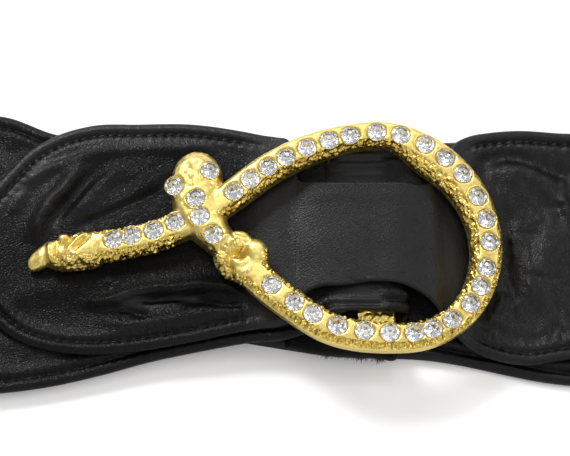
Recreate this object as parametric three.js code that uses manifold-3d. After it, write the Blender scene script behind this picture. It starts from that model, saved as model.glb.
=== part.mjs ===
// A wide black leather belt with a gold-plated buckle set with clear stones, fastened and laid flat.
// Millimetres. X runs along the belt, Y across it, Z up from the table it lies on.
import * as THREE from "three";
import { mergeVertices } from "three/addons/utils/BufferGeometryUtils.js";
import Module from "manifold-3d";

const wasm = await Module();
wasm.setup();

// Driving dimensions
const CLEARANCE = 0.3; // between any two pieces
const BELT_LENGTH = 400; // the closed belt laid flat, from end fold to end fold
const LEATHER = 1.6; // wall of both straps
const FOLD_HEIGHT = 10; // how high each soft end fold stands
const FOLD_REACH = 16; // and over what length it swells
const LOBE_REACH = 94; // from the ring's centre to the tip of the free end
const LOBE_WIDTH = 58.6; // the free end at its widest
const TAIL_WIDTH = 72; // the left strap at its widest, beside the free end
const RING_LENGTH = 60; // the ring's line of stones, along X
const RING_WIDTH = 50.3; // and along Y
const LIMB_WIDTH = 7.6; // the ring's cast limb
const LIMB_HEIGHT = 5.5;
const STEM_WIDTH = 7.4;
const STEM_HEIGHT = 5.2;
const KNOT_WIDTH = 12.6; // the domed loop of the knot
const KNOT_HEIGHT = 6.2;
const BUD_WIDTH = 10; // the bud on the stem's end
const BUD_LENGTH = 13;
const BLOSSOM_WIDTH = 12.6; // the blossom under the knot
const RIGHT_RADIUS = 220; // the frame's bend to the waist, right of its top
const LEFT_RADIUS = 550; // and left of it
const BAR_WIDTH = 9;
const BAR_THICKNESS = 2.4;
const BAR_LIFT = 1.2; // the turned-back end under the bar, above the back
const RIM_DROP = 0.8; // the ring's underside, below the top of the band
const STONE_WIDTH = 4.5; // across the girdle
const STONE_GIRDLE = 0.25;
const STONE_CROWN = 0.85;
const STONE_PAVILION = 1.5;
const STONE_FACETS = 8; // round the crown, and as many below
const GRAIN_HEIGHT = 0.35; // the cast nugget texture on the limbs' flanks
const FOLD_RISE = 1; // the tallest fold of the leather
const RIB_PITCH = 2.4; // the gathers on the bar
const RIB_HEIGHT = 0.45;

// Colours, from the object
const gold = new THREE.MeshStandardMaterial({ color: 0xd9a930, roughness: 0.28, metalness: 1 });
const leather = new THREE.MeshStandardMaterial({ color: 0x1b1b1d, roughness: 0.55, metalness: 0 });
const glass = new THREE.MeshStandardMaterial({ color: 0xeef0f2, roughness: 0.05, metalness: 0.3 });

// Heights of the layers, from the table up
const ringX = 18; // the ring's centre, from the middle of the belt
const ringY = -3.45;
const frontLow = LEATHER + CLEARANCE;
const lobeLow = frontLow + LEATHER + CLEARANCE;
const turnedLow = frontLow + BAR_LIFT;
const barLow = turnedLow + LEATHER + CLEARANCE;
const barTop = barLow + BAR_THICKNESS;
const wrapLow = barTop + CLEARANCE;
const bandLow = wrapLow + LEATHER + CLEARANCE;
const frameLow = bandLow + LEATHER - RIM_DROP;
const barX = ringX + RING_LENGTH * 0.06;
const barRight = barX + BAR_WIDTH / 2;
const frameTopX = ringX - RING_LENGTH * 0.12;
const half = LEATHER / 2;

// The frame is worked out flat and then bent to the waist.
const bendRadius = (x) => (x > frameTopX ? RIGHT_RADIUS : LEFT_RADIUS);
const archTilt = (x) => (x - frameTopX) / bendRadius(x);
const archHeight = (x) => frameLow - (x - frameTopX) ** 2 / (2 * bendRadius(x));
const bent = (x, y, up) =>
  new THREE.Vector3(x + up * Math.sin(archTilt(x)), y, archHeight(x) + up * Math.cos(archTilt(x)));

const smooth = (low, high, value) => THREE.MathUtils.smoothstep(value, low, high);

// Solids and meshes
function solidOf(geometry) {
  const bare = geometry.clone();
  bare.deleteAttribute("normal");
  bare.deleteAttribute("uv");
  const merged = mergeVertices(bare, 1e-4);
  return new wasm.Manifold(
    new wasm.Mesh({
      numProp: 3,
      vertProperties: new Float32Array(merged.attributes.position.array),
      triVerts: new Uint32Array(merged.index.array),
    }),
  );
}

function geometryOf(solid) {
  const mesh = solid.getMesh();
  const geometry = new THREE.BufferGeometry();
  geometry.setAttribute("position", new THREE.BufferAttribute(new Float32Array(mesh.vertProperties), 3));
  geometry.setIndex(new THREE.BufferAttribute(new Uint32Array(mesh.triVerts), 1));
  const facets = geometry.toNonIndexed();
  facets.computeVertexNormals();
  return facets;
}

// A closed body through sections that have as many points each, with both ends closed.
function loft(sections) {
  const count = sections[0].length;
  const position = sections.flat().flatMap((point) => point.toArray());
  const index = [];
  for (let row = 0; row < sections.length - 1; row++) {
    for (let column = 0; column < count; column++) {
      const next = (column + 1) % count;
      const [a, b] = [row * count + column, row * count + next];
      const [c, d] = [a + count, b + count];
      index.push(a, b, c, b, d, c);
    }
  }
  const end = (sections.length - 1) * count;
  for (let k = 0; k < count / 2 - 1; k++) {
    const [a, b, c, d] = [k, k + 1, count - 2 - k, count - 1 - k];
    index.push(a, d, b, b, d, c);
    index.push(end + a, end + b, end + d, end + b, end + c, end + d);
  }
  const geometry = new THREE.BufferGeometry();
  geometry.setAttribute("position", new THREE.Float32BufferAttribute(position, 3));
  geometry.setIndex(index);
  return geometry;
}

// The cast frame

// The limb's section: shares of its half width and of its height. The flanks carry the nugget texture.
const LIMB_SECTION = [
  { out: 0.84, up: 0, grain: 0 },
  { out: 1, up: 0.14, grain: 0 },
  { out: 1, up: 0.48, grain: 0.5 },
  { out: 0.86, up: 0.8, grain: 1 },
  { out: 0.62, up: 1, grain: 0 },
  { out: -0.62, up: 1, grain: 0 },
  { out: -0.88, up: 0.8, grain: 1 },
  { out: -1, up: 0.48, grain: 0.5 },
  { out: -1, up: 0.14, grain: 0 },
  { out: -0.84, up: 0, grain: 0 },
];
const grainAt = (row, column) => Math.sin(row * 2.4 + column * 1.7) * Math.sin(row * 1.1 + column * 2.9);

// Sweeps the limb's section along a curve in the flat frame, with the width, height and shift at each step.
function sweptLimb(curve, steps, widthAt, heightAt, shiftAt = () => 0) {
  const sections = [];
  for (let row = 0; row <= steps; row++) {
    const at = row / steps;
    const centre = curve.getPointAt(at);
    const along = curve.getTangentAt(at);
    const out = new THREE.Vector3(-along.y, along.x, 0).normalize();
    sections.push(
      LIMB_SECTION.map(({ out: side, up, grain }, column) => {
        const lump = grain * GRAIN_HEIGHT * grainAt(row, column);
        const reach = side * (widthAt(at) / 2) + shiftAt(at) + Math.sign(side) * lump;
        return centre.clone().addScaledVector(out, reach).setZ(up * heightAt(at) + lump * up);
      }),
    );
  }
  return solidOf(loft(sections));
}

// A rounded lump standing on the frame's underside: its ellipsoid is cut flat at height 0.
function lump({ x, y, long, wide, high, base = 0, turn = 0, around = 12 }) {
  const geometry = new THREE.SphereGeometry(1, around, Math.max(6, Math.round(around * 0.6)));
  geometry.scale(long / 2, wide / 2, high).rotateZ(THREE.MathUtils.degToRad(turn)).translate(x, y, base);
  const room = Math.max(long, wide, high) * 2;
  const upper = new THREE.BoxGeometry(room, room, room).translate(x, y, room / 2);
  return solidOf(geometry).intersect(solidOf(upper));
}

// The ring's line of stones: shares of its length and width from its centre, clockwise from the knot, with
// the limb's width there as a share of its widest, and how far it is shifted outward from the stones.
const RING_LINE = [
  { x: -0.5, y: 0.2, wide: 0.97, shift: 0.05 },
  { x: -0.362, y: 0.326, wide: 0.98, shift: 0.05 },
  { x: -0.205, y: 0.423, wide: 0.96, shift: 0.05 },
  { x: -0.04, y: 0.484, wide: 0.86, shift: 0.05 },
  { x: 0.115, y: 0.5, wide: 0.82, shift: 0.05 },
  { x: 0.258, y: 0.442, wide: 0.9, shift: 0.04 },
  { x: 0.403, y: 0.297, wide: 0.94, shift: 0.01 },
  { x: 0.488, y: 0.069, wide: 0.95, shift: 0 },
  { x: 0.483, y: -0.16, wide: 0.95, shift: 0 },
  { x: 0.407, y: -0.357, wide: 0.9, shift: 0 },
  { x: 0.257, y: -0.482, wide: 0.88, shift: 0 },
  { x: 0.093, y: -0.5, wide: 0.93, shift: 0.03 },
  { x: -0.107, y: -0.464, wide: 0.95, shift: 0.03 },
  { x: -0.272, y: -0.343, wide: 0.97, shift: 0.03 },
  { x: -0.36, y: -0.257, wide: 1, shift: 0.03 },
  { x: -0.457, y: -0.14, wide: 1, shift: 0.03 },
];
const ringPoint = ({ x, y }) => new THREE.Vector3(ringX + x * RING_LENGTH, ringY + y * RING_WIDTH, 0);
const ringLine = new THREE.CatmullRomCurve3(RING_LINE.map(ringPoint));
// A column of the table, between its rows. Rows lie about as far apart along the line.
function ringColumn(name) {
  return (at) => {
    const run = ringLine.getUtoTmapping(at) * (RING_LINE.length - 1);
    const row = Math.min(Math.floor(run), RING_LINE.length - 2);
    return LIMB_WIDTH * THREE.MathUtils.lerp(RING_LINE[row][name], RING_LINE[row + 1][name], run - row);
  };
}
const ringLimb = sweptLimb(ringLine, 50, ringColumn("wide"), () => LIMB_HEIGHT, ringColumn("shift"));

// The knot's body comes down from the domed loop to the blossom.
const KNOT_LINE = [
  { x: -0.652, y: 0.3 },
  { x: -0.643, y: 0.16 },
  { x: -0.625, y: 0.06 },
  { x: -0.575, y: -0.03 },
  { x: -0.485, y: -0.1 },
];
const knotLine = new THREE.CatmullRomCurve3(KNOT_LINE.map(ringPoint));
const knotLimb = sweptLimb(knotLine, 8, () => KNOT_WIDTH * 0.74, () => KNOT_HEIGHT);

// The stem runs left from the knot to the bud.
const STEM_LINE = [
  { x: -0.6, y: 0.12 },
  { x: -0.72, y: 0.052 },
  { x: -0.815, y: 0.006 },
  { x: -0.905, y: -0.018 },
  { x: -0.98, y: -0.035 },
  { x: -1.06, y: -0.04 },
];
const stemLine = new THREE.CatmullRomCurve3(STEM_LINE.map(ringPoint));
const stemLimb = sweptLimb(stemLine, 14, () => STEM_WIDTH, () => STEM_HEIGHT);

// The bud: shares of its length from the stem's end, its width and the stem's height.
const BUD_SECTIONS = [
  { along: 0, wide: 0.74, high: 1, side: 0 },
  { along: 0.12, wide: 0.98, high: 1.02, side: 0 },
  { along: 0.35, wide: 1, high: 1.08, side: -0.01 },
  { along: 0.7, wide: 0.84, high: 0.98, side: -0.03 },
  { along: 0.96, wide: 0.72, high: 0.8, side: -0.06 },
  { along: 1, wide: 0.62, high: 0.62, side: -0.08 },
  { along: 1.16, wide: 0.46, high: 0.5, side: -0.24 },
  { along: 1.3, wide: 0.16, high: 0.3, side: -0.38 },
];
const budFoot = stemLine.getPoint(1);
const budX = (along) => budFoot.x + BUD_LENGTH * 0.15 - BUD_LENGTH * along;
const bud = solidOf(
  loft(
    BUD_SECTIONS.map(({ along, wide, high, side }) =>
      LIMB_SECTION.map(
        ({ out, up }) =>
          new THREE.Vector3(
            budX(along),
            budFoot.y + side * BUD_WIDTH - (out * wide * BUD_WIDTH) / 2,
            up * high * STEM_HEIGHT,
          ),
      ),
    ),
  ),
);

// Raised relief of the bud, the knot and the blossom: places and sizes as shares of the piece's width.
const BUD_RELIEF = [
  { x: 0.3, y: 0.02, long: 0.9, wide: 0.2, high: 0.22, turn: 52 }, // the ribbon across it
  { x: 0.94, y: 0.14, long: 0.34, wide: 0.34, high: 0.2, turn: 0 }, // upper bead
  { x: 0.8, y: -0.32, long: 0.36, wide: 0.26, high: 0.2, turn: 40 }, // lower bead
  { x: 0.12, y: 0.36, long: 0.3, wide: 0.26, high: 0.18, turn: 20 }, // the peak at the stem
  { x: 0.14, y: -0.3, long: 0.4, wide: 0.24, high: 0.16, turn: -30 },
];
const BLOSSOM_RELIEF = [
  { x: -0.04, y: 0.36, long: 0.4, wide: 0.3, high: 0.16, turn: 15 }, // upper leaf
  { x: -0.32, y: -0.02, long: 0.4, wide: 0.42, high: 0.14, turn: 0 }, // grained ball
  { x: 0.3, y: 0.06, long: 0.38, wide: 0.44, high: 0.15, turn: 20 }, // right petal
  { x: 0.1, y: -0.34, long: 0.5, wide: 0.3, high: 0.12, turn: -20 }, // lower petal
  { x: -0.02, y: 0.08, long: 0.3, wide: 0.26, high: 0.2, turn: 0 }, // the heart
];
const blossomAt = ringPoint({ x: -0.475, y: -0.1 });

function reliefOn(rows, centre, width, height, direction = 1) {
  return rows.map(({ x, y, long, wide, high, turn }) =>
    lump({
      x: centre.x + direction * x * width,
      y: centre.y + y * width,
      long: long * width,
      wide: wide * width,
      high: high * width,
      base: height,
      turn,
      around: 8,
    }),
  );
}

const knotDome = lump({
  x: ringPoint(KNOT_LINE[0]).x,
  y: ringPoint(KNOT_LINE[0]).y - KNOT_WIDTH * 0.05,
  long: KNOT_WIDTH,
  wide: KNOT_WIDTH * 1.22,
  high: KNOT_HEIGHT * 1.02,
  around: 14,
});
const blossomDome = lump({
  x: blossomAt.x,
  y: blossomAt.y,
  long: BLOSSOM_WIDTH,
  wide: BLOSSOM_WIDTH * 0.92,
  high: KNOT_HEIGHT,
  around: 12,
});

// The stones: cut with a table, 8 crown facets, a girdle and 8 pavilion facets.
const stoneRadius = STONE_WIDTH / 2;
const stoneGeometry = new THREE.LatheGeometry(
  [
    new THREE.Vector2(0, -STONE_PAVILION),
    new THREE.Vector2(stoneRadius, -STONE_GIRDLE),
    new THREE.Vector2(stoneRadius, 0),
    new THREE.Vector2(stoneRadius * 0.58, STONE_CROWN),
    new THREE.Vector2(0, STONE_CROWN),
  ],
  STONE_FACETS,
).rotateX(Math.PI / 2);

// The ring's stones: how far each lies from the one before, by hand as the setter spaced them.
const RING_STEPS = [
  0, 5, 5.3, 5, 5.6, 5.7, 5.2, 6.4, 5.8, 6.3, 5.8, 5.7, 6.7, 6, 5.8, 6.8, 5, 5.2, 6, 5.3, 4.5, 5.7,
  5.9, 6.4, 6.4, 5.3, 6.9, 9.2,
];
const stepsLength = RING_STEPS.reduce((sum, step) => sum + step, 0);
const stones = [];
RING_STEPS.slice(0, -1).reduce((run, step) => {
  const at = ringLine.getPointAt((run + step) / stepsLength);
  stones.push({ x: at.x, y: at.y, up: LIMB_HEIGHT });
  return run + step;
}, 0);
const KNOT_STONES = [
  { x: -0.735, y: 0.236, up: 0.8, lean: 22 },
  { x: -0.594, y: 0.306, up: 0.97, lean: -16 },
  { x: -0.648, y: 0.165, up: 1.04, lean: 0 },
  { x: -0.632, y: 0.072, up: 1.02, lean: 0 },
  { x: -0.578, y: -0.019, up: 1, lean: 0 },
];
KNOT_STONES.forEach((row) => {
  const at = ringPoint(row);
  stones.push({ x: at.x, y: at.y, up: row.up * KNOT_HEIGHT, lean: row.lean });
});
const STEM_STONES = [{ at: 0.3 }, { at: 0.485 }, { at: 0.67 }, { at: 0.82 }];
STEM_STONES.forEach(({ at }) => {
  const place = stemLine.getPointAt(at);
  stones.push({ x: place.x, y: place.y + STEM_WIDTH * 0.06, up: STEM_HEIGHT });
});

// Where a stone's girdle lies in the flat frame, with its lean.
const leanOf = ({ lean = 0 }) => THREE.MathUtils.degToRad(lean);
const seatDepth = STONE_PAVILION + CLEARANCE;
const seats = stones.map((stone) => {
  const bore = (stoneRadius + CLEARANCE) / Math.cos(Math.PI / STONE_FACETS);
  const profile = [
    new THREE.Vector2(0, -seatDepth),
    new THREE.Vector2(bore * 0.45, -seatDepth),
    new THREE.Vector2(bore, -STONE_GIRDLE * 1.5),
    new THREE.Vector2(bore, STONE_CROWN * 3),
    new THREE.Vector2(0, STONE_CROWN * 3),
  ];
  const cutter = new THREE.LatheGeometry(profile, STONE_FACETS).rotateX(Math.PI / 2);
  return solidOf(cutter)
    .rotate([0, -THREE.MathUtils.radToDeg(leanOf(stone)), 0])
    .translate([stone.x, stone.y, stone.up]);
});
// A collet of metal under each stone that stands out from the dome.
const collets = stones
  .filter(({ lean }) => lean)
  .map((stone) => {
    const high = stone.up + STONE_GIRDLE / 2;
    const post = new THREE.CylinderGeometry(stoneRadius + CLEARANCE * 2.2, stoneRadius * 0.9, high, 12);
    return solidOf(post.rotateX(Math.PI / 2).translate(stone.x, stone.y, high / 2));
  });

// The cross bar, stepped down from the ring so that the band passes over it.
const ringInner = (side) => ringY + side * (RING_WIDTH / 2 - LIMB_WIDTH * (side > 0 ? 0.38 : 0.44));
const postDepth = LIMB_WIDTH * 0.35;
const postHeight = archHeight(barX) + LIMB_HEIGHT / 2 - barLow;
const barSpan = ringInner(1) - ringInner(-1) + postDepth * 2;
const barMiddle = (ringInner(1) + ringInner(-1)) / 2;
const barBlock = (y, span, height) =>
  solidOf(new THREE.BoxGeometry(BAR_WIDTH, span, height).translate(barX, y, barLow + height / 2));
const bars = [
  barBlock(barMiddle, barSpan, BAR_THICKNESS),
  barBlock(ringInner(1) + postDepth / 2, postDepth, postHeight),
  barBlock(ringInner(-1) - postDepth / 2, postDepth, postHeight),
];

let casting = [
  knotLimb,
  stemLimb,
  bud,
  knotDome,
  blossomDome,
  ...collets,
  ...reliefOn(BUD_RELIEF, new THREE.Vector3(budX(0), budFoot.y), BUD_WIDTH, STEM_HEIGHT, -1),
  ...reliefOn(BLOSSOM_RELIEF, blossomAt, BLOSSOM_WIDTH, KNOT_HEIGHT * 0.85),
].reduce((sum, piece) => sum.add(piece), ringLimb);
casting = seats.reduce((rest, seat) => rest.subtract(seat), casting);
casting = casting.warp((vertex) => {
  const [x, y, up] = vertex;
  const moved = bent(x, y, up);
  vertex[0] = moved.x;
  vertex[1] = moved.y;
  vertex[2] = moved.z;
});
casting = bars.reduce((sum, bar) => sum.add(bar), casting);

// The straps

// Main folds: place, length and width as shares of the free end's width from the ring's centre.
const FRONT_FOLDS = [
  { x: -1.29, y: 0.31, long: 0.22, wide: 0.05, high: 0.6, turn: -21 },
  { x: -1.19, y: 0.27, long: 0.18, wide: 0.05, high: 0.7, turn: -46 },
  { x: -1.3, y: 0.14, long: 0.15, wide: 0.05, high: 0.5, turn: -55 },
  { x: -0.77, y: -0.22, long: 0.62, wide: 0.06, high: 1, turn: 3 },
  { x: -0.77, y: -0.33, long: 0.6, wide: 0.05, high: -0.4, turn: 4 },
  { x: -0.82, y: 0.42, long: 0.5, wide: 0.05, high: 0.45, turn: 0 },
  { x: 0.72, y: 0.34, long: 0.34, wide: 0.07, high: 0.6, turn: -5 },
  { x: 0.68, y: -0.26, long: 0.3, wide: 0.12, high: 0.7, turn: 12 },
];
const foldAt = (x, y) =>
  FRONT_FOLDS.reduce((sum, fold) => {
    const turn = THREE.MathUtils.degToRad(fold.turn);
    const [dx, dy] = [x - ringX - fold.x * LOBE_WIDTH, y - ringY - fold.y * LOBE_WIDTH];
    const along = (dx * Math.cos(turn) + dy * Math.sin(turn)) / (fold.long * LOBE_WIDTH * 0.5);
    const across = (dy * Math.cos(turn) - dx * Math.sin(turn)) / (fold.wide * LOBE_WIDTH);
    return sum + FOLD_RISE * fold.high * Math.exp(-(along ** 4) - across ** 2);
  }, 0);

// Rows of a strap's outline: x in ring lengths from the ring's centre, edges in shares of the
// free end's width from the ring's centre line, rise from the lower layer (0) to the bar (1), and how
// much lower than the middle the edges lie, in leather walls.
const LOBE_ROWS = [
  { x: -1.567, low: -0.11, high: 0.09, rise: 0, droop: 0 },
  { x: -1.545, low: -0.21, high: 0.17, rise: 0, droop: 0 },
  { x: -1.492, low: -0.29, high: 0.24, rise: 0, droop: 0 },
  { x: -1.425, low: -0.36, high: 0.323, rise: 0, droop: 0 },
  { x: -1.342, low: -0.415, high: 0.417, rise: 0.01, droop: 0 },
  { x: -1.233, low: -0.451, high: 0.486, rise: 0.08, droop: 0.2 },
  { x: -1.083, low: -0.47, high: 0.53, rise: 0.26, droop: 0.6 },
  { x: -0.9, low: -0.46, high: 0.532, rise: 0.4, droop: 0.8 },
  { x: -0.683, low: -0.426, high: 0.527, rise: 0.53, droop: 0.8 },
  { x: -0.467, low: -0.383, high: 0.493, rise: 0.64, droop: 0.6 },
  { x: -0.317, low: -0.363, high: 0.467, rise: 0.73, droop: 0.5 },
  { x: -0.25, low: -0.291, high: 0.375, rise: 0.78, droop: 0.4 },
  { x: -0.167, low: -0.221, high: 0.26, rise: 0.93, droop: 0.1 },
];
const BAND_ROWS = [
  { x: -0.067, low: -0.206, high: 0.245 },
  { x: 0.05, low: -0.189, high: 0.245 },
  { x: 0.167, low: -0.2, high: 0.245 },
];
const RIGHT_ROWS = [
  { x: 0.267, low: -0.252, high: 0.245, rise: 0.85, droop: 0 },
  { x: 0.333, low: -0.325, high: 0.272, rise: 0.56, droop: 0.1 },
  { x: 0.392, low: -0.41, high: 0.392, rise: 0.42, droop: 0.2 },
  { x: 0.45, low: -0.453, high: 0.472, rise: 0.3, droop: 0.3 },
  { x: 0.533, low: -0.487, high: 0.501, rise: 0.21, droop: 0.3 },
  { x: 0.65, low: -0.506, high: 0.52, rise: 0.14, droop: 0.3 },
  { x: 0.833, low: -0.48, high: 0.511, rise: 0.06, droop: 0.15 },
  { x: 1.117, low: -0.475, high: 0.51, rise: 0, droop: 0 },
];
const lobeEdge = (share) => ringY + share * LOBE_WIDTH;
const rowX = (x) => ringX + x * RING_LENGTH;
// The free end's own length stretches its rows left of the ring.
const ringLeft = ringX - RING_LENGTH / 2;
const lobeTip = LOBE_ROWS[0].x;
const freeReach = LOBE_REACH - RING_LENGTH / 2;
const freeX = (x) => (x < -0.5 ? ringLeft - (freeReach * (x + 0.5)) / (lobeTip + 0.5) : rowX(x));

// One station of a strap: a mid-wall point, its two edges, how far they droop and its folds.
const flat = () => 0;
function station(x, z, { low, high }, { droop = 0, relief = flat } = {}) {
  return { x, z, low, high, droop, relief };
}

// The back half and the end folds are plain. Edges as shares of the free end's width.
const END_EDGES = { low: -0.52, high: 0.54 };
const BACK_ROWS = [
  { x: 1.6, low: -0.55, high: 0.53 },
  { x: 0.8, low: -0.575, high: 0.5 },
  { x: 0.27, low: -0.472, high: 0.48 },
  { x: -0.15, low: -0.45, high: 0.47 },
  { x: -0.3, low: -0.425, high: 0.46 },
  { x: -0.53, low: -0.385, high: 0.44 },
];
const seamRow = BACK_ROWS.at(-1);
const edgesOf = (row) => ({ low: lobeEdge(row.low), high: lobeEdge(row.high) });
const seamX = rowX(seamRow.x);

// Mid-wall points of an end fold, from the front layer round to the back: the leather swells open.
function endFold(side) {
  const tip = (side * BELT_LENGTH) / 2;
  const edges = edgesOf(END_EDGES);
  const radius = FOLD_HEIGHT / 2 - half;
  const centreX = tip - side * (radius + half);
  const points = [
    station(centreX - side * FOLD_REACH * 1.6, frontLow + half, edges),
    station(centreX - side * FOLD_REACH, frontLow + half + FOLD_HEIGHT * 0.12, edges),
    station(centreX - side * FOLD_REACH * 0.45, FOLD_HEIGHT - half - FOLD_HEIGHT * 0.16, edges),
  ];
  const turns = 6;
  for (let k = 0; k <= turns; k++) {
    const angle = Math.PI / 2 - (Math.PI * k) / turns;
    const x = centreX + side * radius * Math.cos(angle);
    points.push(station(x, half + radius + radius * Math.sin(angle), edges));
  }
  return points;
}

// Walls a list of mid-wall stations: outer and inner points across each, closed round the edges. The outer
// side lies to the left of the way the stations run, or with facing -1 to the right.
function strap(stations, columns, facing) {
  const sections = stations.map((now, row) => {
    const before = stations[Math.max(row - 1, 0)];
    const after = stations[Math.min(row + 1, stations.length - 1)];
    const along = new THREE.Vector2(after.x - before.x, after.z - before.z).normalize();
    const out = new THREE.Vector2(-along.y, along.x).multiplyScalar(facing);
    const side = (outward) => (share) => {
      const y = now.low + (now.high - now.low) * share;
      const lower = now.droop * LEATHER * (2 * share - 1) ** 2;
      const reach = now.relief(now.x, y) - lower + outward * (LEATHER / 2);
      return new THREE.Vector3(now.x + out.x * reach, y, now.z + out.y * reach);
    };
    const shares = Array.from({ length: columns + 1 }, (_, k) => k / columns);
    const round = [...shares.map(side(1)), ...shares.reverse().map(side(-1))];
    return facing > 0 ? round.reverse() : round;
  });
  return solidOf(loft(sections));
}

// The folds fade out under the ring.
const underRing = (x) => smooth(-0.55, -0.45, x) * (1 - smooth(0.55, 0.62, x));
const folded = (x, y) => foldAt(x, y) * (1 - underRing((x - ringX) / RING_LENGTH));
const risen = (low, high, rise) => low + (high - low) * rise + half;
const foldedStation = (row, x, low) =>
  station(x, risen(low, bandLow, row.rise), edgesOf(row), { droop: row.droop, relief: folded });
const rightStations = [
  ...LOBE_ROWS.map((row) => foldedStation(row, freeX(row.x), lobeLow)),
  ...BAND_ROWS.map((row) => station(rowX(row.x), bandLow + half, edgesOf(row))),
  ...RIGHT_ROWS.map((row) => foldedStation(row, rowX(row.x), frontLow)),
  ...endFold(1),
  ...BACK_ROWS.slice(0, -1).map((row) => station(rowX(row.x), half, edgesOf(row))),
  station(seamX + CLEARANCE / 2, half, edgesOf(seamRow)),
];

// The left strap: over the bar, then down under the free end and out to the left.
const LEFT_ROWS = [
  { x: -0.167, low: -0.37, high: 0.41, rise: 0.78 },
  { x: -0.3, low: -0.41, high: 0.44, rise: 0.57 },
  { x: -0.433, low: -0.419, high: 0.46, rise: 0.45 },
  { x: -0.633, low: -0.453, high: 0.477, rise: 0.32 },
  { x: -0.833, low: -0.492, high: 0.485, rise: 0.14 },
  { x: -1.033, low: -0.547, high: 0.49, rise: 0.04 },
  { x: -1.233, low: -0.593, high: 0.506, rise: 0 },
  { x: -1.433, low: -0.62, high: 0.583, rise: 0 },
  { x: -1.633, low: -0.624, high: 0.605, rise: 0 },
  { x: -2.2, low: -0.59, high: 0.58, rise: 0 },
  { x: -2.8, low: -0.54, high: 0.55, rise: 0 },
];
// The strap's own width spreads its edges where it is wider than the free end.
const widestRow = LEFT_ROWS.at(-3);
const widest = (widestRow.high - widestRow.low) * LOBE_WIDTH;
const spread = (share) => share * (1 + (TAIL_WIDTH / widest - 1) * smooth(0.5, 0.62, Math.abs(share)));
const leftEdges = ({ low, high }) => ({ low: lobeEdge(spread(low)), high: lobeEdge(spread(high)) });
const wrapEdges = { low: ringInner(-1) + LIMB_WIDTH * 0.5, high: ringInner(1) - CLEARANCE };
// The turned-back end, which widens below the ring.
const TURNED_ROWS = [
  { x: -0.3, low: -0.355, high: 0.36, rise: 0 },
  { x: -0.2, low: -0.415, high: 0.37, rise: 0.5 },
  { x: -0.07, low: -0.46, high: 0.38, rise: 1 },
];
const turnedEdges = { low: lobeEdge(-0.475), high: lobeEdge(0.38) };
const turnRadius = (wrapLow - turnedLow) / 2;
const turnCentre = { x: barRight - CLEARANCE / 3, z: turnedLow + half + turnRadius };
// The gathers show above and below the band, which lies on the rest of them.
const aboveBand = (y) => smooth(lobeEdge(0.26), lobeEdge(0.3), y);
const belowBand = (y) => 1 - smooth(lobeEdge(-0.27), lobeEdge(-0.23), y);
const gather = (y) => (RIB_HEIGHT / 2) * (1 + Math.cos((2 * Math.PI * y) / RIB_PITCH));
const ribbed = (x, y) => gather(y) * (aboveBand(y) + belowBand(y));
const mixEdges = (share) => ({
  low: THREE.MathUtils.lerp(wrapEdges.low, turnedEdges.low, share),
  high: THREE.MathUtils.lerp(wrapEdges.high, turnedEdges.high, share),
});
const turnSteps = 6;
const turn = Array.from({ length: turnSteps + 1 }, (_, k) => {
  const angle = -Math.PI / 2 + (Math.PI * k) / turnSteps;
  const edges = mixEdges(1 - smooth(0, 0.4, k / turnSteps));
  const x = turnCentre.x + turnRadius * Math.cos(angle);
  return station(x, turnCentre.z + turnRadius * Math.sin(angle), edges);
});
const leftStations = [
  ...TURNED_ROWS.map((row) => station(rowX(row.x), risen(frontLow, turnedLow, row.rise), edgesOf(row))),
  ...turn,
  station(barX, wrapLow + half, wrapEdges, { relief: ribbed }),
  station(barX - BAR_WIDTH * 0.8, wrapLow + half, wrapEdges, { relief: ribbed }),
  ...LEFT_ROWS.map((row) => station(rowX(row.x), risen(frontLow, wrapLow, row.rise), leftEdges(row))),
  ...endFold(-1),
  station(-rowX(BACK_ROWS[0].x), half, edgesOf(BACK_ROWS[0])),
  station(seamX - CLEARANCE / 2, half, edgesOf(seamRow)),
];

// The belt
const belt = new THREE.Group();
function add(name, geometry, material) {
  const mesh = new THREE.Mesh(geometry, material);
  mesh.name = name;
  belt.add(mesh);
  return mesh;
}
add("buckle_frame", geometryOf(casting), gold);
add("right_strap", geometryOf(strap(rightStations, 11, 1)), leather);
add("left_strap", geometryOf(strap(leftStations, 16, -1)), leather);
stones.forEach((stone, k) => {
  const name = "stone_" + String(k + 1).padStart(2, "0");
  const mesh = add(name, stoneGeometry.clone(), glass);
  mesh.position.copy(bent(stone.x, stone.y, stone.up));
  mesh.rotation.y = archTilt(stone.x) - leanOf(stone);
});

// The origin is at the middle of the footprint, on the table.
const bounds = new THREE.Box3().setFromObject(belt);
const middle = bounds.getCenter(new THREE.Vector3());
belt.position.set(-middle.x, -middle.y, -bounds.min.z);

export default belt;
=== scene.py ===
import math

import bpy
import numpy as np
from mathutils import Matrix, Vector


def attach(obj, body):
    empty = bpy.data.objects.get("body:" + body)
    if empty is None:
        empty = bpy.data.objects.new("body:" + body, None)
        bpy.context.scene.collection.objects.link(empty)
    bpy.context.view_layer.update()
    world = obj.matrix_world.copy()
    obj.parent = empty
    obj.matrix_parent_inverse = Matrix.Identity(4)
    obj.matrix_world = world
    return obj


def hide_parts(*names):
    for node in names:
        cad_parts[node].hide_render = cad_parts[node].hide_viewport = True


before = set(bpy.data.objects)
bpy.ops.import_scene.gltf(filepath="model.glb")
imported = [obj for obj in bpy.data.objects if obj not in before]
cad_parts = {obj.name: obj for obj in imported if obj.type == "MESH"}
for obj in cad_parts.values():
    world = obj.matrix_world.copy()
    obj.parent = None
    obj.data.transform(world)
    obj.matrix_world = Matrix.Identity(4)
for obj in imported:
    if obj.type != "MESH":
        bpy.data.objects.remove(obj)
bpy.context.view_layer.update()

# The table: a sheet of white studio board that lies under the belt. Soft boxes stand round it in a
# pale room, and the camera stands over the front edge, looking down at 70 degrees. All sizes in this
# file are in millimetres, with X along the belt, Y across it and Z up from the table.
MM = 0.001
TABLE_WIDTH = 3000
TABLE_DROP = 0.05
CAMERA_REACH = 600
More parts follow.
